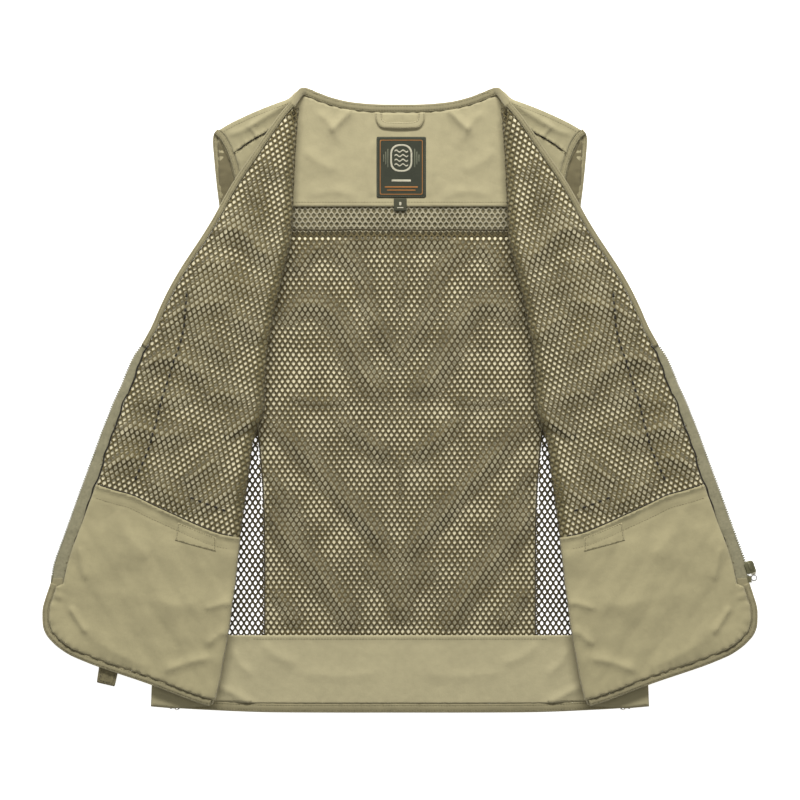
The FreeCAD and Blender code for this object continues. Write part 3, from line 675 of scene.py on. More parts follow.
def over_fold(sl, v, dh, hfun, h_low, less=0.0):
    """Where cloth cut flat at (sl, v) lies once it is turned over the fold; dh is the height off its middle.
    less is how far inside the outermost layer it runs."""
    sc = fold_turn(v, 0.0, h_low, less)[0]
    ss = np.maximum(sl, sc)
    puff = bulge(v)[1]
    ht = hfun(ss, v) + puff * np.exp(-(np.maximum(sl - sc, 0) / 20.0) ** 2)
    sc, rx, ry, le, _ = fold_turn(v, ht - puff, h_low, less)
    hc = (ht + h_low) / 2
    q = sl - sc
    th = np.clip(-q / le, 0, 1) * math.pi
    s = np.where(q >= 0, ss, np.where(-q <= le, sc - rx * np.sin(th), sc + (-q - le)))
    h = np.where(q >= 0, ht, np.where(-q <= le, hc + ry * np.cos(th), h_low))
    nx, nz = -np.sin(th) / np.maximum(rx, 0.5), np.cos(th) / ry
    size = np.hypot(nx, nz)
    nx, nz = nx / size, nz / size
    return world(s + nx * dh, v, h + nz * dh)


def blend_fold(ob):
    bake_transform(ob)


# Knitted mesh: a strand net with a rounded diamond hole in each cell.
PX_, PY_ = 6.25, 4.86
RING_A = np.array([(0, 3.434), (-3.125, 1.425), (-3.125, 0), (-3.125, -1.425),
                   (0, -3.434), (3.125, -1.425), (3.125, 0), (3.125, 1.425)])
RING_B = np.array([(0, 2.72), (-1.42, 1.36), (-1.95, 0), (-1.42, -1.36),
                   (0, -2.72), (1.42, -1.36), (1.95, 0), (1.42, 1.36)])


def net_cells(lo, hi, turn, keep):
    """Cell centres over a box, the net turned by an angle, kept by a test."""
    c, s = math.cos(turn), math.sin(turn)
    rot = np.array([[c, -s], [s, c]])
    mid = (np.array(lo) + np.array(hi)) / 2
    rad = float(np.linalg.norm(np.array(hi) - np.array(lo))) / 2 + 8
    rows = int(rad / PY_) + 1
    cols = int(rad / PX_) + 1
    j, i = np.meshgrid(np.arange(-rows, rows + 1), np.arange(-cols, cols + 1), indexing="ij")
    loc = np.stack([(i + 0.5 * (j % 2)) * PX_, j * PY_], -1).reshape(-1, 2)
    pts = loc @ rot.T + mid
    return pts[keep(pts)], rot


def net(cells, rot, mapping, seed, scale=1.0, a_up=0.32, b_up=0.08, c_up=-0.34):
    """Strands between the cells. mapping(points, dh) gives the place of a flat point."""
    n = len(cells)
    k = scale * (1.0 + 0.06 * waves(cells, seed, 46.0))
    fa = cells[:, None] + (RING_A @ rot.T)[None]
    fb = cells[:, None] + k[:, None, None] * (RING_B @ rot.T)[None]
    fc = fb + (fa - fb) * 0.14
    key = np.round(fa.reshape(-1, 2) / 0.02).astype(np.int64)
    key = np.round(key / 12.0).astype(np.int64)
    _, first, inv = np.unique(key[:, 0] * 100003 + key[:, 1], return_index=True, return_inverse=True)
    inv = np.asarray(inv).reshape(-1)
    ua = fa.reshape(-1, 2)[first]
    va = mapping(ua, a_up + 0.10 * waves(ua, seed + 5, 9.0))
    vb = mapping(fb.reshape(-1, 2), np.full(n * 8, b_up))
    vc = mapping(fc.reshape(-1, 2), np.full(n * 8, c_up))
    ia = inv.reshape(n, 8)
    ib = len(ua) + np.arange(n * 8).reshape(n, 8)
    ic = ib + n * 8
    nxt = np.roll(np.arange(8), -1)
    q1 = np.stack([ia, ia[:, nxt], ib[:, nxt], ib], -1).reshape(-1, 4)
    q2 = np.stack([ib, ib[:, nxt], ic[:, nxt], ic], -1).reshape(-1, 4)
    return np.vstack([va, vb, vc]), np.vstack([q1, q2])


def band(a, b, place, low, high, crown=0.9, n=7, grooves=(), wobble=None, cap=True):
    """A folded strip between two lines. place(points, h) puts it; low and high are its faces."""
    m = max(len(a), len(b))
    m = max(m, int(np.linalg.norm(np.diff(a, axis=0), axis=1).sum() / 2.2) + 2)
    a, b = resample(a, n=m), resample(b, n=m)
    low = np.broadcast_to(np.asarray(low, float), (m,))
    high = np.broadcast_to(np.asarray(high, float), (m,))
    if wobble is not None:
        high = high + wobble(a)
    rows = []
    mid = (low + high) / 2
    rows.append((a + (b - a) * 0.05, low))
    rows.append((a, mid * 0.9 + low * 0.1))
    for t in np.linspace(0.035, 0.965, n):
        drop = crown * abs(2 * t - 1) ** 3.5
        for g, w, d in grooves:
            drop += d * math.exp(-((t - g) / w) ** 2)
        rows.append((a + (b - a) * t, np.maximum(high - drop, low + 0.3)))
    rows.append((b, mid * 0.9 + low * 0.1))
    rows.append((b + (a - b) * 0.05, low))
    k = len(rows)
    verts = np.vstack([place(p, h) for p, h in rows])
    faces = []
    for i in range(k):
        j = (i + 1) % k
        for c in range(m - 1):
            faces.append((i * m + c, i * m + c + 1, j * m + c + 1, j * m + c))
    if cap:
        faces.append(tuple(i * m for i in range(k)))
        faces.append(tuple(i * m + m - 1 for i in reversed(range(k))))
    # faces must look outwards whichever way the two lines run
    t0, w0 = a[1] - a[0], b[0] - a[0]
    if t0[0] * w0[1] - t0[1] * w0[0] > 0:
        return verts, faces
    return verts, [tuple(reversed(f)) for f in faces]


def at_level(p, h):
    return np.column_stack([p, np.broadcast_to(h, (len(p),))])


def at_tilt(p, h):
    s, v = sv(p)
    return world(s, v, h)


def thread_row(line3, pitch=3.4, length=2.4, r=0.26, sink=0.1):
    """Stitches along a line in space: short rounded pieces of thread."""
    line3 = resample(line3, 1.0)
    d = np.r_[0, np.cumsum(np.linalg.norm(np.diff(line3, axis=0), axis=1))]
    n = int(d[-1] / pitch)
    if n < 1:
        return np.zeros((0, 3)), []
    at = (np.arange(n) + 0.5) * d[-1] / n
    pos = lambda t: np.stack([np.interp(t, d, line3[:, i]) for i in range(3)], 1)
    rings = []
    for off, rr, dz in ((-0.5, 0.35, -sink), (-0.28, 1.0, 0.0), (0.28, 1.0, 0.0), (0.5, 0.35, -sink)):
        p = pos(at + off * length)
        t = pos(at + 0.5) - pos(at - 0.5)
        t /= np.maximum(np.linalg.norm(t, axis=1), 1e-9)[:, None]
        side = np.cross(t, [0, 0, 1.0])
        side /= np.maximum(np.linalg.norm(side, axis=1), 1e-9)[:, None]
        up = np.cross(side, t)
        ring = [p + (side * math.cos(a) + up * (math.sin(a))) * r * rr + [0, 0, dz]
                for a in np.arange(6) * math.pi / 3]
        rings.append(np.stack(ring, 1))
    v = np.stack(rings, 1)                       # n, 4, 6, 3
    faces = []
    for i in range(n):
        o = i * 24
        for a in range(3):
            for b in range(6):
                c = (b + 1) % 6
                faces.append((o + a * 6 + b, o + a * 6 + c, o + a * 6 + 6 + c, o + a * 6 + 6 + b))
        faces.append(tuple(o + b for b in reversed(range(6))))
        faces.append(tuple(o + 18 + b for b in range(6)))
    return v.reshape(-1, 3), faces


def tube(path, r, n=10, closed=False):
    path = np.asarray(path, float)
    m = len(path)
    t = (np.roll(path, -1, 0) - np.roll(path, 1, 0)) if closed else np.gradient(path, axis=0)
    t /= np.linalg.norm(t, axis=1)[:, None]
    ref = np.array([0, 0, 1.0])
    a = np.cross(t, ref)
    a /= np.maximum(np.linalg.norm(a, axis=1), 1e-9)[:, None]
    b = np.cross(a, t)
    rr = np.broadcast_to(np.asarray(r, float), (m,))
    v = np.stack([path + (a * math.cos(x) + b * math.sin(x)) * rr[:, None]
                  for x in np.arange(n) * 2 * math.pi / n], 1).reshape(-1, 3)
    f = []
    for i in range(m if closed else m - 1):
        j = (i + 1) % m
        for k in range(n):
            l = (k + 1) % n
            f.append((i * n + k, j * n + k, j * n + l, i * n + l))
    if not closed:
        f.append(tuple(range(n)))
        f.append(tuple((m - 1) * n + k for k in reversed(range(n))))
    return v, f


def loft_block(outline, z0, z1, place, bevel=0.35, dish=0.0):
    """A small solid from an outline, with rounded top and bottom edges."""
    o = np.asarray(outline, float)
    c = o.mean(0)
    rad = np.linalg.norm(o - c, axis=1)[:, None]
    shrink = lambda d: c + (o - c) * np.maximum(1 - d / rad, 0.05)
    rows = [(shrink(bevel), z0), (shrink(bevel * 0.3), z0 + bevel * 0.3), (o, z0 + bevel),
            (o, z1 - bevel), (shrink(bevel * 0.3), z1 - bevel * 0.3), (shrink(bevel), z1)]
    n = len(o)
    v = np.vstack([place(p, np.full(n, z)) for p, z in rows])
    f = []
    for i in range(len(rows) - 1):
        for k in range(n):
            l = (k + 1) % n
            f.append((i * n + k, i * n + l, (i + 1) * n + l, (i + 1) * n + k))
    f.append(tuple(reversed(range(n))))
    f.append(tuple((len(rows) - 1) * n + k for k in range(n)))
    turn = 0.5 * float(np.dot(o[:, 0], np.roll(o[:, 1], -1)) - np.dot(o[:, 1], np.roll(o[:, 0], -1)))
    return v, (f if turn > 0 else [tuple(reversed(x)) for x in f])


def rounded(w, h, r, n=4, cx=0.0, cy=0.0):
    pts = []
    for sx, sy, a0 in ((1, 1, 0), (-1, 1, 90), (-1, -1, 180), (1, -1, 270)):
        for a in np.linspace(a0, a0 + 90, n):
            pts.append((cx + sx * (w / 2 - r) + r * math.cos(math.radians(a)),
                        cy + sy * (h / 2 - r) + r * math.sin(math.radians(a))))
    return np.array(pts)


SIDES = (("left", -1), ("right", 1))

# ---------------------------------------------------------------- outlines
neck = smooth(P["neckline"])
neck_in = beside(neck, -8.7)
neck_in[0] = (0.0, neck_in[0][1])
shoulder = smooth(P["shoulder"])
arm = smooth(P["back_armhole"])
arm_in = beside(arm, -6.0)
farm = smooth(P["front_armhole"])
farm_in = beside(farm, -6.0)
side_line = smooth(P["side_edge"])
hem = smooth(P["hem_edge"])
hem_in = beside(hem, -9.8)
if hem_in[10][1] < hem[10][1]:
    hem_in = beside(hem, 9.8)
hem_in[0] = (side_line[-1][0] - 0.7, hem_in[0][1])
hem_in[-1] = (0.0, hem_in[-1][1])
HEM_TOP = -256.0
YOKE_Y = 177.7
vee = smooth(P["vee_edge"])
vee_in = inward(vee, 6.5)
zip_edge = smooth(P["zip_edge"])
zip_in = smooth(P["zip_inner"])
corner = smooth(P["corner_edge"])
corner_in = beside(corner, 7.6)
if corner_in[40][1] < corner[40][1]:
    corner_in = beside(corner, -7.6)
mouth = smooth(P["pocket_mouth"])


def on_fold(y, away=0.0):
    k = (y - AXT[1] - AXO[1] * away) / AXD[1]
    return AXT + AXD * k + AXO * away


# ------------------------------------------------- wrinkles (line, height, half width)
BACK_FOLDS = [
    ([(72.3, 160.3), (53.8, 173.4), (29.9, 176.6), (0.5, 173.4)], 3.4, 8.0),
    ([(69, 162.5), (49.5, 149.5), (39.7, 129.9), (31, 95.1), (14.7, 66.9), (-2.7, 40.8)], 3.6, 6.5),
    ([(0.5, 149.5), (-0.5, 119), (-4.9, 88.6)], 2.0, 5.0),
    ([(112.5, 138.6), (101.6, 156), (84.2, 169)], 3.4, 6.0),
    ([(125.5, 88.6), (108.2, 102.7), (82.1, 101.6), (63.6, 82.1), (51.6, 53.8), (38.6, 26.6), (19, 8.2)], 4.8, 9.0),
    ([(66.9, -20.1), (40.8, -40.8), (14.7, -60.3)], 3.8, 7.0),
    ([(136.4, -26.6), (108.2, -54.9), (70.1, -96.2), (34.2, -135.3), (3.8, -172.3)], 4.2, 7.5),
    ([(142.9, -122.3), (119, -154.9), (91.9, -183.2), (66.9, -217.9), (51.6, -246.2)], 4.4, 9.0),
    ([(36.4, -176.6), (11.4, -201.6), (-3.8, -237.5)], 3.2, 8.0),
    ([(145.1, -76.6), (127.7, -96.2), (110.3, -117.9)], 1.8, 5.0),
    ([(142.9, -98.4), (123.4, -117.9), (101.6, -133.2)], 1.6, 4.5),
    ([(138.6, -207.1), (123.4, -224.5), (112.5, -246.2)], 2.4, 6.5),
    ([(64.7, -109.2), (40.8, -133.2), (21.2, -152.7)], 1.4, 5.0),
    ([(0.5, -60.3), (-2.7, -87.5), (-1.6, -109.2)], 1.6, 5.0),
    ([(119, 4.9), (88.6, -2.7), (59.2, 1.6)], 1.4, 5.5),
]
FLAP_FOLDS = [
    ([(212.5, 177.7), (192.9, 185.3), (173.4, 183.2), (156, 166.9), (138.6, 149.5)], 4.6, 8.0),
    ([(225.6, 142.9), (203.8, 149.5), (179.9, 147.3)], 2.4, 6.0),
    ([(236.4, 119), (192.9, 129.9), (149.5, 121.2)], 2.0, 8.0),
    ([(269, 73.4), (240.8, 95.1), (212.5, 103.8), (184.2, 108.2)], 4.2, 8.5),
    ([(182.1, 95.1), (164.7, 82.1), (147.3, 66.9)], 3.2, 7.5),
    ([(220.1, 75.5), (203.8, 60.3), (186.4, 47.3)], 2.8, 8.0),
    ([(283.2, 34.2), (256, 45.1), (234.2, 40.8), (212.5, 21.2)], 4.8, 8.0),
    ([(210.3, 1.6), (192.9, 8.2), (173.4, 1.6)], 3.2, 6.5),
    ([(313.6, -31), (282.1, -31), (258.2, -39.7), (234.2, -33.2)], 4.6, 8.0),
    ([(295.1, -4.9), (260.3, 1.6), (227.7, 3.8)], 1.8, 7.0),
    ([(327.7, -81), (310.3, -67.9), (282.1, -61.4)], 4.0, 7.0),
    ([(232.1, -89.7), (214.7, -76.6), (199.5, -63.6)], 3.2, 7.0),
    ([(221.2, -120.1), (201.6, -107.1), (177.7, -96.2)], 2.6, 7.0),
    ([(271.2, -87.5), (251.6, -100.5), (234.2, -115.8)], 2.6, 8.0),
    ([(175.6, 249.5), (160.3, 234.2), (149.5, 212.5)], 1.6, 8.0),
    ([(166.9, 271.2), (149.5, 260.3), (134.2, 238.6)], 1.4, 7.0),
    ([(192.9, 210.3), (173.4, 201.6), (149.5, 201.6)], 1.6, 7.0),
]
POCKET_FOLDS = [
    ([(358.2, -224.5), (349.5, -239.7), (339.7, -253.8)], 1.4, 4.0),
    ([(348.4, -159.2), (345.1, -176.6), (340.8, -196.2)], 1.0, 4.5),
    ([(183.2, -219), (197.3, -222.3), (211.4, -226.6)], 1.0, 4.0),
    ([(254.9, -294), (232.1, -285.3), (207.1, -279.9)], 1.5, 6.0),
    ([(210.3, -265.8), (196.2, -254.9), (182.1, -244)], 1.2, 5.0),
    ([(312.5, -124.5), (290.8, -152.7), (271.2, -170.1)], 0.9, 12.0),
    ([(271.2, -213.6), (242.9, -222.3), (216.9, -220.1)], 0.8, 13.0),
    ([(329.9, -261.4), (299.5, -278.8), (271.2, -291.9)], 0.9, 9.0),
    ([(369, -217.9), (373.4, -202.7), (369, -187.5)], 0.9, 4.0),
]
FACING_FOLDS = [
    ([(51.6, 316.9), (62.5, 306), (76.6, 291.9)], 1.7, 4.5),
    ([(88.6, 312.5), (75.5, 299.5), (66.9, 279.9)], 0.9, 5.0),
    ([(103.8, 271.2), (88.6, 258.2), (69, 249.5)], 0.8, 8.0),
    ([(101.6, 221.2), (75.5, 227.7), (47.3, 221.2)], 0.8, 7.0),
    ([(29.9, 282.1), (34.2, 251.6), (29.9, 221.2)], 0.7, 5.0),
]
HEM_FOLDS = [
    ([(198.4, -311.4), (179.9, -320.1), (159.2, -333.2)], 1.5, 5.0),
    ([(149.5, -265.8), (134.2, -278.8), (112.5, -287.5)], 0.9, 6.0),
    ([(108.2, -296.2), (64.7, -300.6), (21.2, -296.2)], 0.6, 7.0),
    ([(182.1, -272.3), (173.4, -287.5), (160.3, -300.6)], 0.9, 5.0),
]
SHOULDER_FOLDS = [
    ([(166.9, 295.1), (149.5, 306), (119, 324.5)], 1.6, 4.0),
    ([(162.5, 295.1), (154.9, 287.5), (148.4, 279.9)], 1.1, 2.4),
    ([(186.4, 288.6), (171.2, 292.9), (156, 301.6)], 0.9, 3.5),
    ([(183.2, 260.3), (170.1, 262.5), (158.2, 271.2)], 0.9, 4.0),
]


def back_wrinkle(p):
    return 1.6 * ridges(p, BACK_FOLDS)


def back_h(p):
    """Top of the back lining over its resting level."""
    q = np.stack([np.abs(p[:, 0]), p[:, 1]], 1)
    z = back_wrinkle(q)
    z += 0.35 * (1 + waves(q, 11, 60.0)) + 0.15 * (1 + waves(q, 12, 24.0))
    top = np.clip((P["yoke_facing_low"][0][1] - 1.0 - q[:, 1]) / 16.0, 0, 1)
    low = np.clip((q[:, 1] - HEM_TOP) / 14.0, 0, 1)
    vent = np.clip((np.abs(q[:, 1] - 185.0) - 2.0) / 9.0, 0.0, 1)
    seam = np.clip((P["back_side_seam"][-1][0] + np.maximum(0, (q[:, 1] + 109) * 0.14) - q[:, 0]) / 10.0, 0.05, 1)
    return z * np.minimum(np.minimum(top, low), np.minimum(seam, vent))


def flap_h(s, v):
    """Top of the folded-out lining, over the shell below it."""
    p = AXT + np.asarray(s)[:, None] * AXO + np.asarray(v)[:, None] * AXD
    z = 1.75 * ridges(p, FLAP_FOLDS)
    z += 0.35 * (1 + waves(p, 21, 55.0)) + 0.25 * (1 + waves(p, 22, 22.0))
    edge = np.minimum(distance(vee_in[::3], p)[0], distance(zip_in[::3], p)[0])
    calm = np.clip((edge - 1.0) / 12.0, 0.08, 1)
    # the sleeve of slack cloth that steps down where the side slit starts
    step_line = np.array([(142.9, -20.1), (162.5, -26.6), (182.1, -39.7)])
    d, _ = distance(step_line, p)
    above = p[:, 1] > np.interp(p[:, 0], step_line[:, 0][::1] if step_line[0, 0] < step_line[-1, 0] else step_line[::-1, 0],
                                step_line[:, 1] if step_line[0, 0] < step_line[-1, 0] else step_line[::-1, 1])
    near = np.exp(-(d / 16.0) ** 2)
    z += np.where(above, 4.2, 0.0) * near * (p[:, 0] < 190)
    low = np.clip((p[:, 1] - np.interp(p[:, 0], mouth[::-1, 0], mouth[::-1, 1])) / 14.0, 0.12, 1)
    return 3.7 + z * calm * low


# --------------------------------------------------------- back, root body
def upper(mat_top):
    return mat_top


shell_wave = lambda p: 0.12 * waves(np.abs(p), 31, 70.0)
# back cape: its top face takes the dark dim cloth, painted shade in the hollow under the vent seen through the net's
# holes
yoke_shell = flat_panel(
    "back_yoke_cape", whole(cat(neck_in, shoulder[1:-1], between(arm_in, 999, 173.4), [(108.2, YOKE_Y), (0, YOKE_Y)])),
    lambda p: 1.0 + 0.05 * waves(np.abs(p), 32, 50.0), 0.8, M["outer"], 7.0, nodes=["back_yoke_shell"], top_mat=M["dim"])
seam_top = at_height(arm_in, P["back_side_seam"][0][1])
side_seam = smooth(np.vstack([seam_top, P["back_side_seam"][1:]]))
side_seam = cat(side_seam[side_seam[:, 1] > HEM_TOP], [(side_seam[-1][0], HEM_TOP)])
arm_mid = between(arm_in, 173.4, P["back_side_seam"][0][1])
side_low = side_line[(side_line[:, 1] < HEM_TOP - 1) & (side_line[:, 1] > hem_in[0][1] + 1)]
lower_outline = whole(cat([(0, YOKE_Y), (108.2, YOKE_Y)], arm_mid, side_seam[1:], [at_height(side_line, HEM_TOP)],
                          side_low, hem_in))
# the back's lower cloth: its top face, seen through the back net, takes the brightened shell cloth, painted light
lower_shell = flat_panel("back_lower_cloth", lower_outline,
                         lambda p: 0.95 + 0.05 * waves(np.abs(p), 33, 40.0), 0.8, M["outer"], 7.0,
                         nodes=["back_lower_shell"], top_mat=M["shell"])

facing_outline = whole(cat(neck_in, shoulder[1:-1], between(arm_in, 999, 206.0), [(108.2, 210.3), (0, 210.3)]))


def facing_z(p):
    q = np.abs(p) * [1, 1]
    q[:, 1] = p[:, 1]
    z = 2.3 + 2.0 * ridges(q, FACING_FOLDS) * np.clip((124.0 - np.abs(q[:, 0])) / 10.0, 0, 1) + 0.45 * (1 + waves(q, 41, 80.0)) * 0.5 + 0.12 * waves(q, 42, 18.0)
    # gathers under the neck binding and along the lower seam
    near_neck = np.exp(-np.clip(distance(neck_in[::2], q)[0] - 0.5, 0, None) / 5.0)
    z += 0.35 * near_neck * np.sin(q[:, 0] * 0.55 + 0.8 * np.sin(q[:, 0] * 0.11))
    low = np.exp(-((p[:, 1] - 210.3) / 7.0) ** 2)
    z += 0.75 * low + 0.22 * low * np.sin(q[:, 0] * 0.42 + 1.3)
    return np.maximum(z, 2.1)


facing = flat_panel("back_yoke_facing_cloth", facing_outline, facing_z, 0.9, M["facing"], 2.6,
                    nodes=["back_yoke_facing"])


def hem_z(p):
    q = np.stack([np.abs(p[:, 0]), p[:, 1]], 1)
    z = 2.3 + 1.6 * ridges(q, HEM_FOLDS) + 0.25 * (1 + waves(q, 51, 70.0)) + 0.10 * waves(q, 52, 15.0)
    top = np.exp(-((p[:, 1] - HEM_TOP) / 5.0) ** 2)
    z += 0.8 * top + 0.18 * top * np.sin(q[:, 0] * 0.5)
    low = np.exp(-((p[:, 1] + 330) / 4.0) ** 2)
    z += 0.2 * low * np.sin(q[:, 0] * 0.62 + np.sin(q[:, 0] * 0.07))
    return np.maximum(z, 2.1)


hem_outline = whole(cat([(0, HEM_TOP)], [at_height(side_line, HEM_TOP)], side_low, hem_in))
hem_facing = flat_panel("back_hem_facing_cloth", hem_outline, hem_z, 0.9, M["hem"], 2.8, nodes=["back_hem_facing"])

# lining of the back: one net between the facing, the side seams and the hem
arm_low = between(arm_in, 206.0, P["back_side_seam"][0][1])
lining_outline = whole(cat([(0, 210.3), (108.2, 210.3)], arm_low, side_seam[1:], [(0, HEM_TOP)]))
reach = lining_outline * [1, 1]


def back_keep(p):
    q = p * [1, 1]
    q[:, 1] = np.where(q[:, 1] > 206, q[:, 1] - 3.0, np.where(q[:, 1] < HEM_TOP + 4, q[:, 1] + 2.0, q[:, 1]))
    return inside(lining_outline, q)


def back_map(p, dh):
    z = back_h(p)
    slack = np.stack([0.25 * waves(p, 61, 40.0), 0.35 * waves(p, 62, 40.0)], 1)
    return level(p + slack, 1.60 + z + dh)


cells, rot = net_cells(lining_outline.min(0), lining_outline.max(0), 0.0, back_keep)
v, f = net(cells, rot, back_map, 63)
# across the vent the two layers of net show as a lighter band
y_vent = 183.0 if np.abs(v).max() > 5 else 0.183
low, high = [], []
for q in f:
    (high if v[q[0]][1] > y_vent else low).append(tuple(q))
back_net = make("back_mesh_lining_knit", v, low + high, M["knit"], face=(M["knit_vent"], len(low), len(low) + len(high)))
finish_piece(back_net, "root", ["back_mesh_lining"])

# see-through side panels, a single net from the armhole to the hem
arm_rest = between(arm_in, P["back_side_seam"][0][1], arm_in[-1][1])
side_outline = cat(arm_rest, [(side_line[0][0] - 0.4, side_line[0][1] - 4.0)],
                   side_line[(side_line[:, 1] < side_line[0][1] - 5) & (side_line[:, 1] > HEM_TOP)],
                   [at_height(side_line, HEM_TOP), side_seam[-1]], side_seam[1:-1][::-1])
side_nets = {}
for side, sign in SIDES:
    cells, rot = net_cells(side_outline.min(0), side_outline.max(0), 0.0,
                           lambda p: inside(side_outline, np.where(p[:, 1:] < HEM_TOP + 3, p + [0, 2.5], p))
                           & (distance(side_line, p)[0] > 3.2))
    v, f = net(cells, rot, lambda p, dh: level(p, 0.62 + 0.12 * waves(p, 71, 30.0) + dh), 72,
               0.90, 0.28, 0.05, -0.36)
    ob = make("side_mesh_knit_" + side, v, f, M["knit_side"], sign)
    side_nets[side] = finish_piece(ob, "root", ["side_mesh_" + side])

# overlocked seams: down each side of the back lining and across below the vent
seams = []
for sign in (1, -1):
    ln = smooth(P["back_side_seam"][1:], 3.0)
    ln = ln[ln[:, 1] > HEM_TOP - 2]
    v, f = band(beside(ln, -0.8), beside(ln, 0.8), at_level, 0.9, 2.1, 0.4, 5,
                wobble=lambda a: 0.18 * np.sin(a[:, 1] * 1.1))
    v = v * [sign, 1, 1]
    seams.append((v, f if sign > 0 else [tuple(reversed(x)) for x in f]))
ln = np.stack([np.linspace(-168, 168, 120), np.full(120, 185.0)], 1)
ln[:, 1] += 0.5 * waves(ln, 75, 70.0)
v, f = band(beside(ln, 0.9), beside(ln, -0.9), at_level, 1.0, 2.2, 0.4, 5,
            wobble=lambda a: 0.15 * np.sin(a[:, 0] * 1.3))
seams.append((v, f))
v, f = join_parts(seams)
lining_seams = finish_piece(make("back_lining_seams", v, f, M["knit_side"]), "root", ())

# bindings of the neck, the armholes and the back hem
gather = lambda seed: (lambda a: 0.16 * np.sin(a[:, 0] * 0.8 + a[:, 1] * 0.7) + 0.10 * waves(a, seed, 12.0))
TWO = ((0.30, 0.045, 0.45), (0.78, 0.045, 0.45))
a = np.vstack([neck[::-1] * [-1, 1], neck[1:]])
b = np.vstack([neck_in[::-1] * [-1, 1], neck_in[1:]])
v, f = band(a, b, at_level, 0.2, 3.9, 0.9, 13, TWO, gather(81))
neck_binding = finish_piece(make("neck_binding_cloth", v, f, M["binding"]), "root", ["neck_binding"])
a = np.vstack([hem[::-1][:-1] * [1, 1], hem[::-1][-1:]])
full = lambda l: np.vstack([l, l[::-1][1:] * [-1, 1]])
v, f = band(full(hem), full(hem_in), at_level, 0.1, 3.2, 0.9, 13, TWO, gather(82))
hem_binding_back = finish_piece(make("back_hem_binding_cloth", v, f, M["binding"]), "root",
                                ["back_hem_binding"])

peaks = []
for sign in (1, -1):
    po = smooth([(97.4, 338.2), (102.6, 340.0), (107.6, 339.6), (112.4, 335.2), (116.0, 330.0), (120.6, 323.6)], 1.2)
    pi_ = smooth([(100.4, 330.3), (103.2, 331.6), (105.2, 331.2), (107.4, 328.6), (110.4, 323.6), (114.8, 317.2)], 1.2)
    m_ = 40
    po, pi_ = resample(po, n=m_), resample(pi_, n=m_)
    up_ = np.clip((np.linspace(0, 1, m_) - 0.12) / 0.8, 0, 1) ** 0.9
    v, f = band(po, pi_, at_level, 0.3 + 13.2 * up_, 4.0 + 15.0 * up_, 1.2, 13, TWO)
    v = v * [sign, 1, 1]
    peaks.append((v, f if sign > 0 else [tuple(reversed(x)) for x in f]))
v, f = join_parts(peaks)
peak = finish_piece(make("neck_peak_binding_cloth", v, f, M["binding"]), "root", ())
going_back = [neck_binding, peak]
side_pieces = {}
for side, sign in SIDES:
    v, f = band(arm, arm_in, at_level, 0.1, 2.6, 0.8, 11, TWO, gather(83))
    ob = finish_piece(make("back_armhole_binding_cloth_" + side, v, f, M["binding"], sign), "root",
                      ["back_armhole_binding_" + side])
    going_back.append(ob)
    v, f = band(farm, farm_in, at_tilt, -5.4, -2.6, 0.8, 11, TWO, gather(84))
    ob = finish_piece(make("front_armhole_binding_cloth_" + side, v, f, M["binding"], sign), "root",
                      ["front_armhole_binding_" + side])
    side_pieces[side] = [ob]

# inside each armhole, a sheet in the dark dim cloth stands in for the inner side of the front layer: painted shade
inner_arm = np.array([(198.4, 279.9), (195.7, 282.1), (190.8, 272.3), (185.3, 260.3), (179.9, 238.6), (183.2, 216.9), (194, 210.3), (196.7, 227.7), (197.8, 254.9)])
for side, sign in SIDES:
    ob = flat_panel("armhole_inner_layer_painted_shade_" + side, resample(np.vstack([inner_arm, inner_arm[:1]]), 2.0)[:-1],
                    lambda p: 3.1 + 0.5 * np.sin(p[:, 1] * 0.16) + 0.05 * (190.0 - p[:, 0]) + 0.3 * waves(p, 86, 9.0),
                    0.6, M["dim"], 2.2, sign=sign)
    going_back.append(ob)

# ------------------------------------------------- shoulder and side pieces
seam_y = P["yoke_seam"][0][1]
p_arm = at_height(farm_in, seam_y)
yoke_seam = smooth(np.vstack([p_arm, P["yoke_seam"][1:-1], on_fold(P["yoke_seam"][-1][1], 0.4)]))
sh = smooth(P["shoulder_seam_front"])
yoke_outline = cat(sh, between(farm_in, 999, seam_y), yoke_seam[1:], [on_fold(sh[0][1] - 2.0, 0.4)])
under_low = cat([(side_line[0][0] - 0.4, side_line[0][1] - 4.0)], side_line[side_line[:, 1] < side_line[0][1] - 6],
                [(246.2, P["hem_edge"][1][1])], [on_fold(-332.5, 0.4)])
under_outline = cat(between(farm_in, seam_y, farm_in[-1][1]), under_low, yoke_seam[1:][::-1])


def yoke_h(p):
    d, t = distance(yoke_seam, p)
    pucker = np.exp(-(d / 5.5)) * 0.55 * (1 + np.sin(t * 62.0 + 1.4 * np.sin(t * 17)))
    return -3.3 + 2.0 * ridges(p, SHOULDER_FOLDS) + 0.25 * (1 + waves(p, 91, 34.0)) + pucker + 0.9 * np.exp(-(d / 2.2) ** 2)


def side_h(p):
    d, t = distance(yoke_seam, p)
    return (-3.3 + 0.5 * ridges(p, SHOULDER_FOLDS) + 0.2 * (1 + waves(p, 92, 45.0))
            + 0.35 * np.exp(-d / 5.0) * (1 + np.sin(t * 48.0)))


# folded-out outline, with the straight edge on the fold
i_cross = [i for i in range(len(vee_in)) if sv(vee_in[i])[0] > 0.5][0]
p_top = vee_in[i_cross]
main = cat([p_top], vee_in[i_cross + 1:], zip_in[4:], corner_in[1:-1], [on_fold(corner_in[-1][1], 0.0)])
top_on_fold = on_fold(p_top[1] + 1.0, 0.0)

# ----------------------------------------------------------- folded fronts
def flat_sv(p):
    s, v = sv(p)
    return np.stack([s, v], 1)


SHELL_TOP, SHELL_LOW, SHELL_LESS = 2.6, -3.7, 1.1



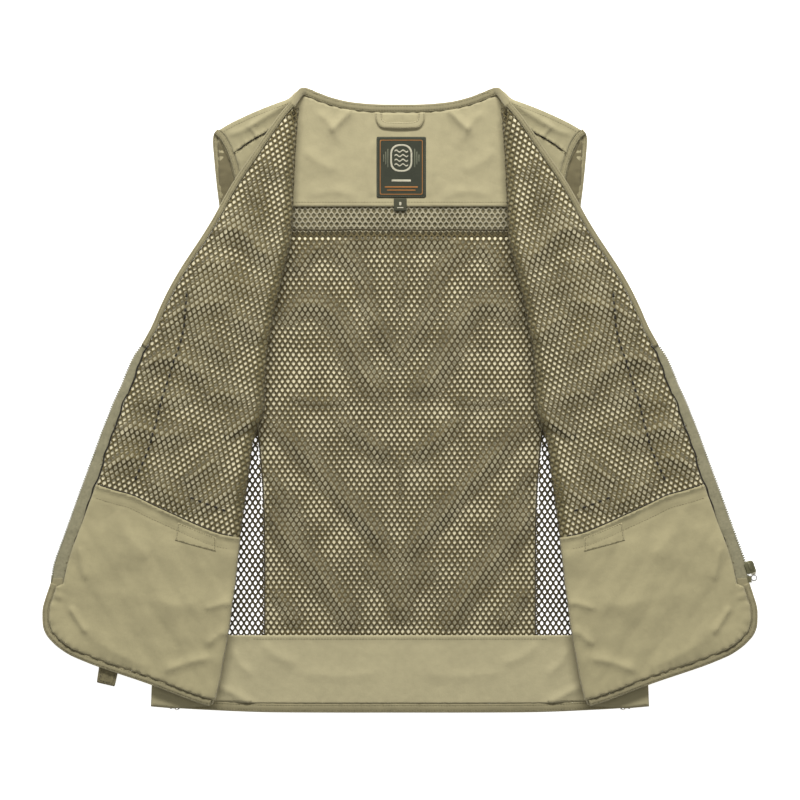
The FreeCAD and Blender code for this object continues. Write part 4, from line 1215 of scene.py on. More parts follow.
def unfold(p):
    """Where a point of the side part lies in the flat cut of the whole front."""
    sc, rx, ry, le, puff = fold_turn(p[:, 1], SHELL_TOP, SHELL_LOW, SHELL_LESS)
    return np.stack([2 * sc - le - p[:, 0], p[:, 1]], 1)


front_sv = flat_sv(main)
under_sv = flat_sv(cat(between(farm_in, seam_y, farm_in[-1][1]), under_low))
cut_seam = unfold(flat_sv(yoke_seam))
rim = smooth(np.stack([np.full(40, 0.4), np.linspace(under_sv[-1][1], flat_sv(yoke_seam)[-1][1], 40)], 1), 8.0)
cut = unfold(under_sv)
v_hi = float(cut_seam[-1][1])
front_cut = cat(front_sv, cut[::-1], cut_seam[1:], [(-2.0, v_hi), (0.0, max(v_hi, front_sv[0][1]))])


def shell_low_h(s, v):
    p = AXT + s[:, None] * AXO + v[:, None] * AXD
    return side_h(p)


def shell_map(q, dh):
    """The outer cloth of a front, from the side seam round the fold to the zip."""
    p = AXT + np.maximum(q[:, 0], 0)[:, None] * AXO + q[:, 1][:, None] * AXD
    top = SHELL_TOP + 0.10 * waves(p, 101, 30.0)
    out = over_fold(q[:, 0], q[:, 1], dh, lambda s, v: top, SHELL_LOW, SHELL_LESS)
    sc, rx, ry, le, puff = fold_turn(q[:, 1], SHELL_TOP, SHELL_LOW, SHELL_LESS)
    s = 2 * sc - le - q[:, 0]
    under = s > 0
    s = s[under]
    h = SHELL_LOW + (shell_low_h(s, q[under, 1]) - 0.4 - SHELL_LOW) * np.clip(s / 12.0, 0, 1)
    out[under] = world(s, q[under, 1], h + np.where(dh[under] > 0, -1, 1) * np.abs(dh[under]))
    return out


flap_sv = front_sv.copy()
NET_TURN = -math.radians(12.0)
pocket_low = cat(mouth[::-1][:1], mouth[::-1][1:], zip_in[zip_in[:, 1] < mouth[0][1] - 3], corner_in[1:-1],
                 [on_fold(corner_in[-1][1], 0.0)])
fronts = {"left": [], "right": []}
knits, shells, pockets = {}, {}, {}
for side, sign in SIDES:
    body = "front_" + side
    # outer cloth
    flat, tris = triangulate(front_cut, 3.6)
    n = len(flat)
    ones = np.ones(n)
    a, b = shell_map(flat, 0.45 * ones), shell_map(flat, -0.45 * ones)
    verts, faces = slab(flat, tris, b, a)
    faces = [tuple(reversed(x)) for x in faces]
    # the inner face takes the brightened shell cloth (painted light); round the turn of the fold it keeps the darker
    # outer cloth (painted shade at the fold's nose)
    sc, _, _, le, _ = fold_turn(flat[:, 1], SHELL_TOP, SHELL_LOW, SHELL_LESS)
    turning = (flat[:, 0] < sc + 1) & (flat[:, 0] > sc - le - 1)
    nt = len(tris)
    at_turn = [q for q in faces[nt:2 * nt] if any(turning[k % len(flat)] for k in q)]
    pale = [q for q in faces[nt:2 * nt] if not any(turning[k % len(flat)] for k in q)]
    faces = list(faces[:nt]) + at_turn + pale + list(faces[2 * nt:])
    ob = make("front_shell_cloth_" + side, verts, faces, M["outer"], sign,
              face=(M["shell"], nt + len(at_turn), 2 * nt))
    finish_piece(ob, None, ["front_shell_" + side, "front_side_shell_" + side, "front_crease_" + side])
    blend_fold(ob)
    shells[side] = ob
    # shoulder piece
    yoke = tilt_panel("shoulder_yoke_cloth_" + side, yoke_outline, yoke_h, 0.9, M["outer"], 2.4, "root",
                      ["shoulder_yoke_" + side], sign=sign)
    side_pieces[side].append(yoke)
    # net lining that stays on the side
    cells, rot = net_cells(under_outline.min(0), under_outline.max(0), NET_TURN * -1.0,
                           lambda p: inside(under_outline, p) & (sv(p)[0] > 24)
                           & ((distance(np.vstack([under_outline, under_outline[:1]]), p)[0] > 1.6)
                              | (distance(side_line, p)[0] > 9.0)))
    v, f = net(cells, rot, lambda p, dh: at_tilt(p, -4.9 + dh * 0.7), 110)
    low_net = finish_piece(make("front_side_lining_knit_" + side, v, f, M["knit_front"], sign), "root",
                           ["front_side_lining_" + side])
    # net lining of the folded-out front and the turn over the fold
    def keep(q):
        r, _ = bulge(q[:, 1])
        on = inside(flap_sv, q - [1.2, 0]) & (q[:, 0] > -4)
        over = (q[:, 0] <= 2) & (q[:, 0] > -(r + 38)) & (q[:, 1] > front_sv[0][1] + 2) & (q[:, 1] < front_sv[-1][1] - 1)
        return on | over
    lo, hi = np.array([-60.0, 0.0]), flap_sv.max(0)
    cells, rot = net_cells(lo, hi, NET_TURN, keep)

    def flap_map(q, dh):
        return over_fold(q[:, 0], q[:, 1], dh, flap_h, -4.9)
    v, f = net(cells, rot, flap_map, 120)
    # the lining parts along the fold: what lies under it stays with the side, the rest goes with the front
    mid = AXT + AXD * (AXLEN * 0.5)
    rise = (v - [mid[0], mid[1], ROLL_Z]) @ np.array([AXO[0] * ST, AXO[1] * ST, CT])
    upper, lower = [], []
    for q in f:
        (lower if rise[q[0]] < -0.5 else upper).append(tuple(q))
    ob = make("front_mesh_lining_knit_" + side, v, upper, M["knit_front"], sign)
    turn_ob = make("front_lining_turn_knit_" + side, v, lower, M["knit_front"], sign)
    for o in (ob, turn_ob):
        bm = bmesh.new()
        bm.from_mesh(o.data)
        bmesh.ops.delete(bm, geom=[x for x in bm.verts if not x.link_faces], context="VERTS")
        bm.to_mesh(o.data)
        bm.free()
    finish_piece(ob, body, ["front_mesh_lining_" + side])
    lining_turn = finish_piece(turn_ob, "root", ())
    knits[side] = ob
    knits[side + "_low"] = low_net
    knits[side + "_turn"] = lining_turn

    # inner pocket: a plain bag front whose edge turns over the fold
    poc = flat_sv(pocket_low)
    m0 = poc[0]
    last = poc[-1]
    vs = np.linspace(last[1], m0[1], 40)
    rr, _ = bulge(vs)
    edge_line = np.stack([-(rr + 2.2), vs], 1)
    pocket_cut = cat(poc[:-1], edge_line)
    flat, tris = triangulate(pocket_cut, 2.4)

    def pocket_h(s, v):
        p = AXT + s[:, None] * AXO + v[:, None] * AXD
        d, t = distance(mouth, p)
        z = 5.7 + 2.2 * ridges(p, POCKET_FOLDS) + 1.2 * (1 + waves(p, 131, 80.0)) + 0.5 * waves(p, 133, 36.0) + 0.14 * waves(p, 132, 16.0)
        z += 2.4 * np.exp(-(d / 3.6) ** 2) - 0.45 * np.exp(-((d - 14.0) / 1.3) ** 2)
        e = np.minimum(distance(zip_in[::2], p)[0], distance(corner_in[::2], p)[0])
        _, te = distance(corner_in[::2], p)
        z += 0.6 * np.exp(-e / 5.5) * np.sin(te * 130.0 + 2 * np.sin(te * 21))
        z -= 0.9 * np.exp(-(e / 2.0) ** 2)
        return z
    tops = over_fold(flat[:, 0], flat[:, 1], 0.4 * np.ones(len(flat)), pocket_h, -5.2, -1.0)
    lows = over_fold(flat[:, 0], flat[:, 1], -0.4 * np.ones(len(flat)), pocket_h, -5.2, -1.0)
    verts, faces = slab(flat, tris, tops, lows)
    ob = make("inner_pocket_cloth_" + side, verts, faces, M["pocket"], sign)
    pockets[side] = finish_piece(ob, body, ["inner_pocket_" + side])

    # hook and loop patch under the mouth
    patch = smooth(np.vstack([P["fastener_patch"], P["fastener_patch"][:1]]), 2.0)[:-1]
    flat, tris = triangulate(resample(np.vstack([P["fastener_patch"], P["fastener_patch"][:1]]), 2.0)[:-1], 2.0)
    s, w = sv(flat)
    h = pocket_h(s, w) + 0.2
    verts, faces = slab(flat, tris, world(s, w, h + 0.35), world(s, w, h - 0.4))
    ob = make("pocket_fastener_patch_" + side, verts, faces, M["pocket"], sign)
    patch_ob = finish_piece(ob, body, ["pocket_fastener_" + side])

    # bindings of the V edge and of the front hem
    v, f = band(vee, vee_in, at_tilt, 1.7, 6.3, 1.2, 13, ((0.30, 0.05, 0.5), (0.74, 0.05, 0.5)), gather(141))
    vb = finish_piece(make("vee_binding_cloth_" + side, v, f, M["binding"], sign), body,
                      ["vee_binding_" + side])
    # the hem binding, laid along the corner edge up to the fold
    v, f = band(corner, corner_in, at_tilt, 1.7, 6.2, 1.2, 13, ((0.26, 0.05, 0.5), (0.80, 0.05, 0.5)), gather(142))
    hb = finish_piece(make("hem_binding_cloth_" + side, v, f, M["binding"], sign), body,
                      ["hem_binding_" + side])
    # zip tape with a raised selvedge, then separate teeth
    teeth_in = inward(zip_edge, 2.2)
    v, f = band(cat([vee[-4]], [vee[-2]], inward(zip_edge, 1.1)[2:]), cat([vee_in[-4]], [vee_in[-1]], zip_in[1:]), at_tilt, 3.0, 4.6, 0.35, 13,
                ((0.22, 0.03, 0.25), (0.88, 0.03, 0.3)), lambda a: 0.35 * waves(a, 143, 30.0) + 0.12 * waves(a, 144, 7.0))
    tape = finish_piece(make("zip_tape_woven_" + side, v, f, M["tape"], sign), body, ["zip_tape_" + side])
    # a dark strip along the tape's inner edge: its seam line, darkened as painted shadow of the gap beside it
    zl = cat([vee_in[-2]], zip_in[1:])
    zl = zl + np.stack([1.3 * waves(zl, 145, 30.0), 0 * zl[:, 0]], 1)
    v, f = band(zl + [0.8, 0], zl - [1.0, 0], at_tilt, 3.6, 4.85, 0.2, 5)
    gap = finish_piece(make("zip_tape_edge_painted_shadow_" + side, v, f, M["dark_thread_and_shade"], sign), body, ())
    fronts[side].append(gap)
    e1, e2 = np.array([(366.3, -194), (366.3, -206)]), np.array([(377.7, -194), (380.4, -206)])
    v, f = band(resample(e1, n=12), resample(e2, n=12), at_tilt, 3.2, 5.0, 0.4, 7)
    fronts[side].append(finish_piece(make("zip_end_tack_" + side, v, f, M["binding"], sign), body, ()))
    # painted shadow: a dark row of thread-like pieces just behind the pocket mouth stands in for the shade in the
    # pocket's opening
    ml = mouth[(np.arange(len(mouth)) > 1)]
    s, w = sv(ml)
    v, f = thread_row(world(s, w, pocket_h(s, w) - 1.2) + [0, 0.9, 0], 6.0, 5.9, 0.9, 0.2)
    fronts[side].append(finish_piece(make("pocket_mouth_painted_shadow_" + side, v, f, M["mouth"], sign), body, ()))
    run = between(zip_edge, zip_edge[0][1] - 3.0, -191.0)
    run = resample(run, 2.54)
    tdir = np.gradient(run, axis=0)
    tdir /= np.linalg.norm(tdir, axis=1)[:, None]
    nrm = np.stack([-tdir[:, 1], tdir[:, 0]], 1)
    if (run + nrm)[:, 0].sum() > run[:, 0].sum():
        nrm = -nrm
    parts = []
    head = np.array([(-0.25, -0.75), (0.55, -0.85), (1.0, -0.5), (2.3, -0.5), (2.3, 0.5), (1.0, 0.5), (0.55, 0.85), (-0.25, 0.75)])
    for c, t, nn in zip(run, tdir, nrm):
        o = c + head[:, :1] * nn + head[:, 1:] * t
        parts.append(loft_block(o, 2.3, 4.3, at_tilt, 0.22))
    v, f = join_parts(parts)
    teeth = finish_piece(make("zip_teeth_row_" + side, v, f, M["teeth"], sign), body, ["zip_teeth_" + side])
    fronts[side] += [vb, hb, tape, teeth, patch_ob]

    # stitching that rides on the front
    parts = []
    lines = []
    for off in (1.9, 4.9):
        ln = inward(vee, off)
        s, w = sv(ln)
        lines.append((world(s, w, 6.15 * np.ones(len(s))), 3.0))
    for off in (2.1, 6.0):
        ln = beside(corner, off) if corner_in[40][1] == beside(corner, 7.6)[40][1] else beside(corner, -off)
        s, w = sv(ln[2:-1])
        lines.append((world(s, w, 6.05 * np.ones(len(s))), 3.0))
    ln = inward(mouth, 0)
    hemst = beside(mouth, 14.0)
    if hemst[20][1] > mouth[20][1]:
        hemst = beside(mouth, -14.0)
    s, w = sv(hemst[2:-2])
    lines.append((world(s, w, pocket_h(s, w) + 0.55), 3.2))
    ln = inward(zip_edge, 8.2)[4:]
    box = resample(np.vstack([P["fastener_patch"], P["fastener_patch"][:1]]), 1.2)
    cen = P["fastener_patch"].mean(0)
    box = cen + (box - cen) * 0.93
    s, w = sv(box)
    lines.append((world(s, w, pocket_h(s, w) + 0.72), 2.8))
    for l, pitch in lines:
        parts.append(thread_row(l, pitch, pitch * 0.72, 0.24))
    v, f = join_parts(parts)
    st = finish_piece(make("front_stitching_" + side, v, f, M["thread"], sign), body, ())
    fronts[side].append(st)
    # long dark stitches of the pocket seams seen through the lining
    parts = []
    for line in ([(231, 117.9), (235.3, 74.5), (252.7, 19), (260.3, -6), (271.2, -48.4), (288.6, -88.6)],
                 [(229.9, -104.9), (210.3, -112.5), (186.4, -121.2)]):
        ln = smooth(np.array(line), 2.0)
        s, w = sv(ln)
        parts.append(thread_row(world(s, w, flap_h(s, w) + 0.55), 8.6, 4.6, 1.15, 0.5))
    v, f = join_parts(parts)
    st = finish_piece(make("lining_seam_stitches_" + side, v, f, M["dark_thread_and_shade"], sign), body, ())
    fronts[side].append(st)

    # outer pockets on the hidden face, with a coil zip along each mouth
    for kind, start, length in (("cargo", (307.0, -121.5), 103.0), ("chest", (245.0, 45.2), 70.0)):
        o = resample(np.vstack([P[kind + "_pocket"], P[kind + "_pocket"][:1]]), 3.0)[:-1]
        flat, tris = triangulate(o, 3.5)
        s, w = sv(flat)
        d, t = distance(np.vstack([P[kind + "_pocket"]]), flat, True)
        h = -0.75 + 0.55 * np.exp(-(d / 2.5) ** 2) + 0.16 * waves(flat, 151, 28.0) * np.clip(d / 10, 0, 1)
        verts, faces = slab(flat, tris, world(s, w, 1.85 * np.ones(len(s))), world(s, w, h))
        pk = finish_piece(make(kind + "_pocket_cloth_" + side, verts, faces, M["outer"], sign), body,
                          [kind + "_pocket_" + side])
        along = np.array([-math.cos(math.radians(16.1)), -math.sin(math.radians(16.1))])
        acr = np.array([-along[1], along[0]])
        start = np.array(start)
        u = np.linspace(0, length, int(length / 2))[:, None]
        parts = []
        for g in (1, -1):
            v, f = band(start + along * u + acr * 3.0 * g, start + along * u + acr * 0.5 * g, at_tilt, -1.8, -0.9, 0.2, 5)
            parts.append((v, f))
        tape_v, tape_f = join_parts(parts)
        zp = finish_piece(make(kind + "_zip_tape_" + side, tape_v, tape_f, M["tape"], sign), body,
                          [kind + "_zip_" + side])
        coil = []
        for i in range(int(length / 1.6)):
            c = start + along * (i + 0.5) * 1.6
            o = c + np.array([(-0.55, -1.1), (0.55, -1.1), (0.55, 1.1), (-0.55, 1.1)]) @ np.stack([along, acr])
            coil.append(loft_block(o, -1.95, -1.05, at_tilt, 0.2))
        v, f = join_parts(coil)
        cz = finish_piece(make(kind + "_zip_coil_" + side, v, f, M["teeth"], sign), body, ())
        st = []
        oo = P[kind + "_pocket"]
        for g in (2.0, 5.0):
            c = oo.mean(0)
            ring = np.array([p + (c - p) / np.linalg.norm(c - p) * g * 1.3 for p in oo])
            ring = resample(np.vstack([ring, ring[:1]]), 2.0)
            s, w = sv(ring)
            v, f = thread_row(world(s, w, -0.62 * np.ones(len(s))), 3.2, 2.3, 0.24, -0.1)
            st.append((v, f))
        v, f = join_parts(st)
        ps = finish_piece(make(kind + "_pocket_stitching_" + side, v, f, M["thread"], sign), body, ())
        cloth(pk, P[kind + "_pocket"], "folded", [shells[side].name], [zp, cz, ps])

cloth(back_net, lining_outline, "draped", [lower_shell.name], [lining_seams])
cloth(yoke_shell, whole(cat(neck_in, shoulder[1:-1], between(arm_in, 999, 173.4), [(108.2, YOKE_Y), (0, YOKE_Y)])),
      "laid", [])
cloth(lower_shell, lower_outline, "laid", [], [hem_binding_back])
cloth(facing, facing_outline, "laid", [yoke_shell.name], going_back)
cloth(hem_facing, hem_outline, "laid", [lower_shell.name])
for side, sign in SIDES:
    cloth(side_nets[side], side_outline, "laid", [])
    cloth(shells[side], front_cut, "folded", [side_nets[side].name], side_pieces[side][:1])
    cloth(side_pieces[side][1], yoke_outline, "laid", [facing.name])
    us, uv = sv(under_outline)
    cloth(knits[side + "_low"], cat(AXT + np.maximum(us, 24.0)[:, None] * AXO + uv[:, None] * AXD), "laid",
          [side_nets[side].name], [knits[side + "_turn"]])
    cut = cat(flap_sv, np.stack([np.full(20, -12.0), np.linspace(flap_sv[-1][1], flap_sv[0][1], 20)], 1))
    cloth(knits[side], cut, "folded", [shells[side].name], fronts[side])
    cloth(pockets[side], pocket_cut, "laid", [knits[side].name])

# ------------------------------------------------------------ small pieces
# Neck label: woven patch with a plain border and plain bars, sewn all round.
LAB_C, LAB_W, LAB_H = np.array([1.4, 286.4 - 66.3 / 2]), 53.8, 66.3


def label_z(p, up=0.0):
    edge = np.minimum(LAB_W / 2 - np.abs(p[:, 0] - LAB_C[0]), LAB_H / 2 - np.abs(p[:, 1] - LAB_C[1]))
    pad = 0.35 * np.clip(edge / 3.0, 0, 1) + 0.10 * waves(p, 161, 20.0)
    return facing_z(p) * 0.5 + 1.25 + 0.75 + pad + up


lab_outline = LAB_C + rounded(LAB_W, LAB_H, 1.0)
lab_outline = resample(np.vstack([lab_outline, lab_outline[:1]]), 2.0)[:-1]
lab = flat_panel("neck_label_woven", lab_outline, lambda p: label_z(p), 0.6, M["label"], 2.0,
                 nodes=["neck_label"])


def on_label(p, h):
    return level(p, label_z(p) + h)


def frame_line(cx, cy, w, h, r, t):
    o = np.array([cx, cy]) + rounded(w, h, r, 5)
    o = resample(np.vstack([o, o[:1]]), 1.5)
    c = np.array([cx, cy])
    i = c + (o - c) * [(w - 2 * t) / w, (h - 2 * t) / h]
    return o, i


parts = []
o, i = frame_line(LAB_C[0], LAB_C[1], 46.6, 59.6, 1.2, 0.75)
parts.append(band(o, i, on_label, -0.1, 0.16, 0.05, 5))
lx, ly = LAB_C
for dy, w, t in ((-21.6, 36.0, 1.5), (-25.0, 31.0, 1.2)):
    parts.append(loft_block(np.array([lx, ly + dy]) + rounded(w, t, 0.5), -0.1, 0.16, on_label, 0.08))
v, f = join_parts(parts)
lab_line = finish_piece(make("neck_label_border", v, f, M["label_line"]), "root", ())
parts = []
o, i = frame_line(lx, ly + 10.0, 24.0, 30.0, 9.5, 1.9)
parts.append(band(o, i, on_label, -0.1, 0.26, 0.08, 5))
for dy in (7.5, 2.5, -2.5, -7.5):
    u = np.linspace(-7.4, 7.4, 24)
    wavy = np.stack([lx + u, ly + 10.0 + dy + 1.1 * np.sin(u * 0.85)], 1)
    parts.append(band(wavy + [0, 0.75], wavy - [0, 0.75], on_label, -0.1, 0.24, 0.08, 4))
parts.append(loft_block(np.array([lx, ly - 14.6]) + rounded(21.0, 2.4, 0.6), -0.1, 0.2, on_label, 0.08))
v, f = join_parts(parts)
lab_pale = finish_piece(make("neck_label_motif", v, f, M["label_pale"]), "root", ())
parts = []
for sx in (-1, 1):
    for k, hgt in enumerate((20.0, 14.0, 8.0)):
        parts.append(loft_block(np.array([lx + sx * (14.6 + 2.3 * k), ly + 10.0]) + rounded(1.1, hgt, 0.5), -0.1, 0.18,
                                on_label, 0.08))
v, f = join_parts(parts)
lab_mid = finish_piece(make("neck_label_side_bars", v, f, M["label_mid"]), "root", ())
sew = LAB_C + rounded(LAB_W - 2.2, LAB_H - 2.2, 0.8)
sew = resample(np.vstack([sew, sew[:1]]), 1.0)
v, f = thread_row(on_label(sew, 0.12), 2.4, 1.7, 0.2)
lab_sew = finish_piece(make("neck_label_stitching", v, f, M["label_mid"]), "root", ())
cloth(lab, lab_outline, "laid", [facing.name], [lab_line, lab_pale, lab_mid, lab_sew])

# Size tag below the label, on its own hinge line.
tag_c = np.array([0.3, 219.6 - 7.0])
tag_o = resample(np.vstack([tag_c + rounded(14.0, 14.0, 0.6), tag_c + rounded(14.0, 14.0, 0.6)[:1]]), 1.2)[:-1]
tag_z = lambda p: 4.15 + 0.12 * np.sin((p[:, 1] - 205.0) * 0.35) + 0.0 * p[:, 0]
tag = flat_panel("size_tag_woven", tag_o, tag_z, 0.45, M["tag"], 1.4, body="size_tag", nodes=["size_tag"])
v, f = loft_block(tag_c + [0, 1.0] + rounded(2.4, 3.6, 0.7), -0.1, 0.1, lambda p, h: level(p, tag_z(p) + h), 0.05)
v2, f2 = loft_block(tag_c + [0, -3.4] + rounded(7.0, 1.1, 0.5), -0.1, 0.1, lambda p, h: level(p, tag_z(p) + h), 0.05)
v, f = join_parts([(v, f), (v2, f2)])
tag_mark = finish_piece(make("size_tag_marks", v, f, M["label_pale"]), "size_tag", ())
cloth(tag, tag_o, "hung", [lab.name], [tag_mark])

# Hanger loop: a folded strip sewn in under the neck binding.
outer = smooth([(-26.6, 312.2), (-26.2, 304.6), (-21.0, 297.0), (-12, 295.6), (12, 295.4), (21.2, 296.6), (26.2, 304.0), (26.6, 312.2)], 1.6)
inner = smooth([(-19.6, 312.2), (-19.3, 306.4), (-17.0, 303.2), (-10, 302.4), (10, 302.5), (17.2, 303.3), (19.5, 306.0), (20.0, 312.2)], 1.6)
loop_lift = lambda a: 1.1 * np.sin(np.clip((a[:, 0] + 26) / 52, 0, 1) * math.pi) ** 1.5
m = 60
o_, i_ = resample(outer, n=m), resample(inner, n=m)
v, f = band(o_, i_, at_level, 3.6 + loop_lift(o_) * 0.6, 4.9 + loop_lift(o_) * 0.6, 0.35, 9, ((0.16, 0.05, 0.22), (0.84, 0.05, 0.22)))
loop = finish_piece(make("hanger_loop_strip", v, f, M["facing"]), "hanger_loop", ["hanger_loop"])
mid1, mid2 = o_ + (i_ - o_) * 0.16, o_ + (i_ - o_) * 0.84
z1 = 4.85 + loop_lift(o_) * 0.6
parts = [thread_row(np.column_stack([mid1, z1]), 2.8, 2.0, 0.2), thread_row(np.column_stack([mid2, z1]), 2.8, 2.0, 0.2)]
v, f = join_parts(parts)
finish_piece(make("hanger_loop_stitching", v, f, M["thread"]), "hanger_loop", ())

# Stitch lines of the fixed cloth.
parts = []
for line, h, pitch in (
        (full(beside(neck, -2.6)), 3.75, 3.0), (full(beside(neck, -6.7)), 3.75, 3.0),
        (full(hem + (hem_in - hem) * 0.26), 3.1, 3.0), (full(hem + (hem_in - hem) * 0.80), 3.1, 3.0)):
    if h < 3.5:
        line = line[np.abs(line[:, 0]) < 238.0]
    parts.append(thread_row(np.column_stack([line, np.full(len(line), h)]), pitch, pitch * 0.72, 0.24))
ln = np.stack([np.linspace(-185, 185, 200), np.full(200, 210.3 + 5.0)], 1)
parts.append(thread_row(np.column_stack([ln, facing_z(ln) + 0.12]), 3.2, 2.3, 0.22))
ln = np.stack([np.linspace(-160, 160, 200), np.full(200, HEM_TOP - 4.0)], 1)
parts.append(thread_row(np.column_stack([ln, hem_z(ln) + 0.12]), 3.2, 2.3, 0.22))
v, f = join_parts(parts)
finish_piece(make("back_stitching", v, f, M["thread"]), "root", ())
parts = []
for line in (full(np.array([(0.0, YOKE_Y + 14.0), (108.2, YOKE_Y + 14.0), (190.0, 187.0)])),
             full(np.array([(0.0, YOKE_Y + 2.0), (108.2, YOKE_Y + 2.0), (191.0, 176.0)]))):
    parts.append(thread_row(np.column_stack([resample(line, 2.0), np.full(len(resample(line, 2.0)), 0.12)]), 3.2, 2.3, 0.2, -0.05))
v, f = join_parts(parts)
finish_piece(make("back_cape_stitching", v, f, M["thread"]), "root", ())
for side, sign in SIDES:
    parts = []
    for k in (0.28, 0.74):
        ln = arm + (arm_in - arm) * k
        parts.append(thread_row(np.column_stack([ln, np.full(len(ln), 2.5)]), 3.0, 2.1, 0.22))
        ln = farm + (farm_in - farm) * k
        s, w = sv(ln)
        parts.append(thread_row(world(s, w, np.full(len(s), -2.7)), 3.0, 2.1, 0.22))
    # painted shadow: a dark row of thread pieces stands in for the shade in the gap where the gathered yoke laps its
    # seam
    ln = beside(yoke_seam, 0.6)
    s, w = sv(ln[3:-3])
    dark = thread_row(world(s, w, side_h(ln[3:-3]) + 0.5), 9.0, 7.6, 0.55, 0.4)
    finish_piece(make("yoke_seam_painted_shadow_" + side, dark[0], dark[1], M["dark_thread_and_shade"], sign), "root", ())
    ln = beside(yoke_seam, 1.6)
    ln = ln if ln[5][1] < yoke_seam[5][1] else beside(yoke_seam, -1.6)
    s, w = sv(ln)
    parts.append(thread_row(world(s, w, side_h(ln) + 0.35), 3.0, 2.1, 0.22))
    ln = sh - [0, 5.0]
    s, w = sv(ln)
    parts.append(thread_row(world(s, w, yoke_h(ln) + 0.12), 3.0, 2.1, 0.22))
    v, f = join_parts(parts)
    finish_piece(make("shoulder_stitching_" + side, v, f, M["thread"], sign), "root", ())

# Insertion pin, retainer pin and retainer box.
teeth_in = inward(zip_edge, 2.2)
pin_o = cat(between(zip_edge, -191.3, zip_edge[-1][1]), between(teeth_in, -191.3, teeth_in[-1][1])[::-1])
v, f = loft_block(pin_o, 2.2, 4.6, at_tilt, 0.35)
finish_piece(make("insertion_pin_moulded", v, f, M["pin"], -1), "front_left", ["insertion_pin"])
v, f = loft_block(pin_o, 2.2, 4.6, at_tilt, 0.35)
finish_piece(make("retainer_pin_moulded", v, f, M["pin"], 1), "front_right", ["retainer_pin"])
stop_o = between(zip_edge, -191.3, zip_edge[-1][1])
box_o = cat(stop_o + [2.6, 0], (stop_o + [0.05, 0])[::-1])
v, f = loft_block(box_o, 1.5, 5.3, at_tilt, 0.4)
finish_piece(make("retainer_box_moulded", v, f, M["pin"], 1), "front_right", ["retainer_box"])

# Webbing tab on the left front's hem.
tab_o = resample(np.vstack([P["webbing_tab"], P["webbing_tab"][:1]]), 2.0)[:-1]
flat, tris = triangulate(tab_o, 2.0)
s, w = sv(flat)
d, _ = distance(P["webbing_tab"], flat, True)
h = 1.6 - 0.5 * np.exp(-(d / 0.8) ** 2)
verts, faces = slab(flat, tris, world(s, w, h), world(s, w, h * 0 + 0.2))
wt = finish_piece(make("webbing_tab_strap", verts, faces, M["web"], -1), "front_left", ["webbing_tab"])
c = P["webbing_tab"].mean(0)
ring = c + (P["webbing_tab"] - c) * 0.72
ring = resample(np.vstack([ring, ring[:1]]), 1.0)
s, w = sv(ring)
v, f = thread_row(world(s, w, np.full(len(s), 1.68)), 3.0, 2.1, 0.24)
finish_piece(make("webbing_tab_stitching", v, f, M["dark_thread_and_shade"], -1), "front_left", ())

# Main slider: two rounded plates, a nose post and the lug that holds the pull.
run_low, run_top = at_height(zip_edge, -182.6), at_height(zip_edge, 0.0)
RUN = (run_top - run_low) / np.linalg.norm(run_top - run_low)
ACR = np.array([RUN[1], -RUN[0]])


def on_slider(p, h):
    return at_tilt(run_low + p[:, :1] * ACR + p[:, 1:] * RUN, h)


body_o = smooth([(-2.7, -5.6), (-1.9, -6.6), (2.6, -6.8), (7.0, -6.6), (7.9, -5.4), (7.3, -1.0), (8.0, 3.2),
                 (6.6, 6.2), (2.6, 6.8), (-1.6, 6.2), (-2.7, 3.4), (-2.1, -1.0), (-2.7, -5.6)], 0.7)[:-1]
parts = [loft_block(body_o, 4.75, 5.9, on_slider, 0.45), loft_block(body_o, 1.0, 2.05, on_slider, 0.4),
         loft_block(np.array([2.65, 3.4]) + rounded(1.8, 4.4, 0.7), 1.5, 5.3, on_slider, 0.2),
         loft_block(np.array([2.65, 0.6]) + rounded(3.0, 8.6, 1.3), 5.5, 6.7, on_slider, 0.5)]
for x, ww in ((-2.35, 0.7), (7.6, 0.7)):
    parts.append(loft_block(np.array([x, 0.2]) + rounded(ww, 9.0, 0.3), 4.1, 5.2, on_slider, 0.2))
v, f = join_parts(parts)
finish_piece(make("zip_slider_cast", v, f, M["slider"], 1), "zip_slider", ["zip_slider"])
lug = [(5.4, -5.2)]
v, f = loft_block(np.array(lug[0]) + rounded(2.0, 2.0, 0.95, 6), -0.5, 1.4, on_slider, 0.15)
v2, f2 = loft_block(np.array([4.4, -6.9]) + rounded(6.2, 1.9, 0.5), 3.4, 5.6, on_slider, 0.3)
v, f = join_parts([(v, f), (v2, f2)])
finish_piece(make("zip_slider_lug", v, f, M["pull"], 1), "zip_slider", ())

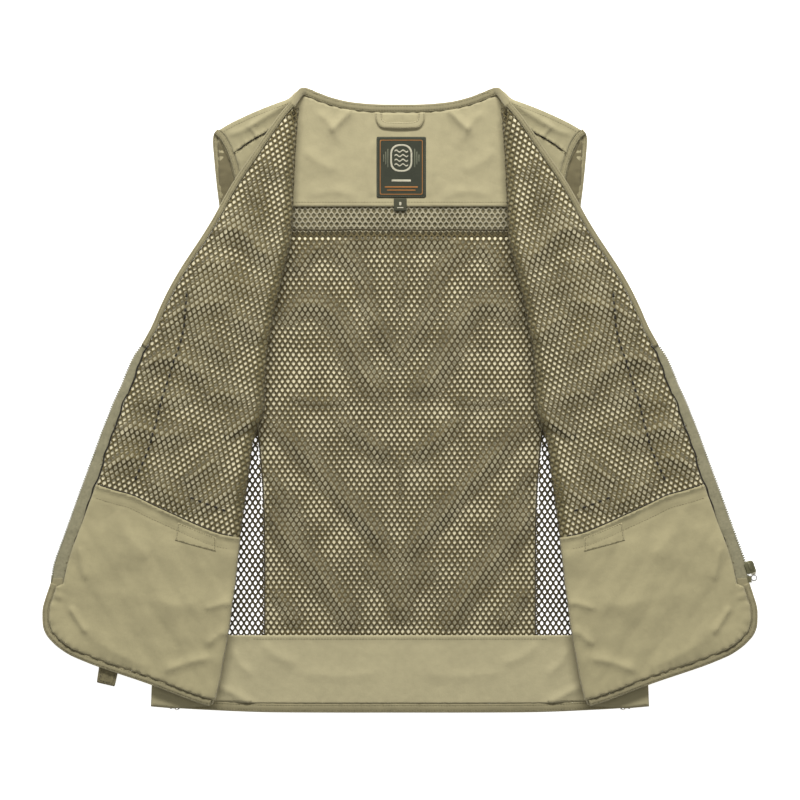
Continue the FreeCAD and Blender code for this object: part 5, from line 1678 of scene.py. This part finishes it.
FINISHES = {"pull_tab": "pull", "pull_ring": "ring", "cargo_slider_left": "slider", "cargo_slider_right": "slider",
            "chest_slider_left": "slider", "chest_slider_right": "slider"}
for name, ob in NODES.items():
    if not ob.hide_render:
        mat = M[FINISHES.get(name, "slider")]
        if not ob.data.materials:
            ob.data.materials.append(mat)
        for i in range(len(ob.data.materials)):
            ob.data.materials[i] = mat
        if name not in FINISHES:
            print("plain node still shown:", name)

# --------------------------------------------------------- floor and light
me = bpy.data.meshes.new("floor")
me.from_pydata([(-9, -9, -0.0006), (9, -9, -0.0006), (9, 9, -0.0006), (-9, 9, -0.0006)], [], [(0, 1, 2, 3)])
floor = bpy.data.objects.new("floor", me)
bpy.context.scene.collection.objects.link(floor)
n = Nodes("floor_paper")
tone = n.noise(3.0, 2)
col = n.ramp(tone, [(0.3, (0.93, 0.93, 0.93, 1)), (0.7, (0.95, 0.95, 0.95, 1))])
n.done(col, n.bump(n.noise(400, 2), 0.02, 0.0001), 0.95, 0.0, 0.1)
n.bsdf.inputs["Emission Color"].default_value = (1, 1, 1, 1)
n.bsdf.inputs["Emission Strength"].default_value = 0.75
me.materials.append(n.mat)

world_ = bpy.data.worlds.new("studio")
bpy.context.scene.world = world_
world_.use_nodes = True
bg = world_.node_tree.nodes["Background"]
bg.inputs["Color"].default_value = (1.0, 1.0, 1.0, 1)
bg.inputs["Strength"].default_value = 0.34


def lamp(name, at, target, size, watts):
    data = bpy.data.lights.new(name, "AREA")
    data.shape = "RECTANGLE"
    data.size, data.size_y = size
    data.energy = watts
    ob = bpy.data.objects.new(name, data)
    bpy.context.scene.collection.objects.link(ob)
    ob.location = at
    ob.rotation_euler = (Vector(target) - Vector(at)).to_track_quat("-Z", "Y").to_euler()
    return ob


lamp("key_top", (0, 2.5, 1.75), (0, 0, 0), (2.0, 0.5), 140)
lamp("fill_over", (0, 0.2, 3.4), (0, 0, 0), (3.0, 3.0), 18)

cam_data = bpy.data.cameras.new("camera")
cam = bpy.data.objects.new("camera", cam_data)
bpy.context.scene.collection.objects.link(cam)
DIST = 5.0
cam.location = (0, 0, DIST)
cam.rotation_euler = (0, 0, 0)
cam_data.sensor_width = 36.0
cam_data.lens = 36.0 * (DIST - 0.008) / 0.8696
cam_data.clip_end = 50
bpy.context.scene.camera = cam
bpy.context.scene.view_settings.view_transform = "Standard"
bpy.context.scene.view_settings.look = "None"

bpy.context.view_layer.update()
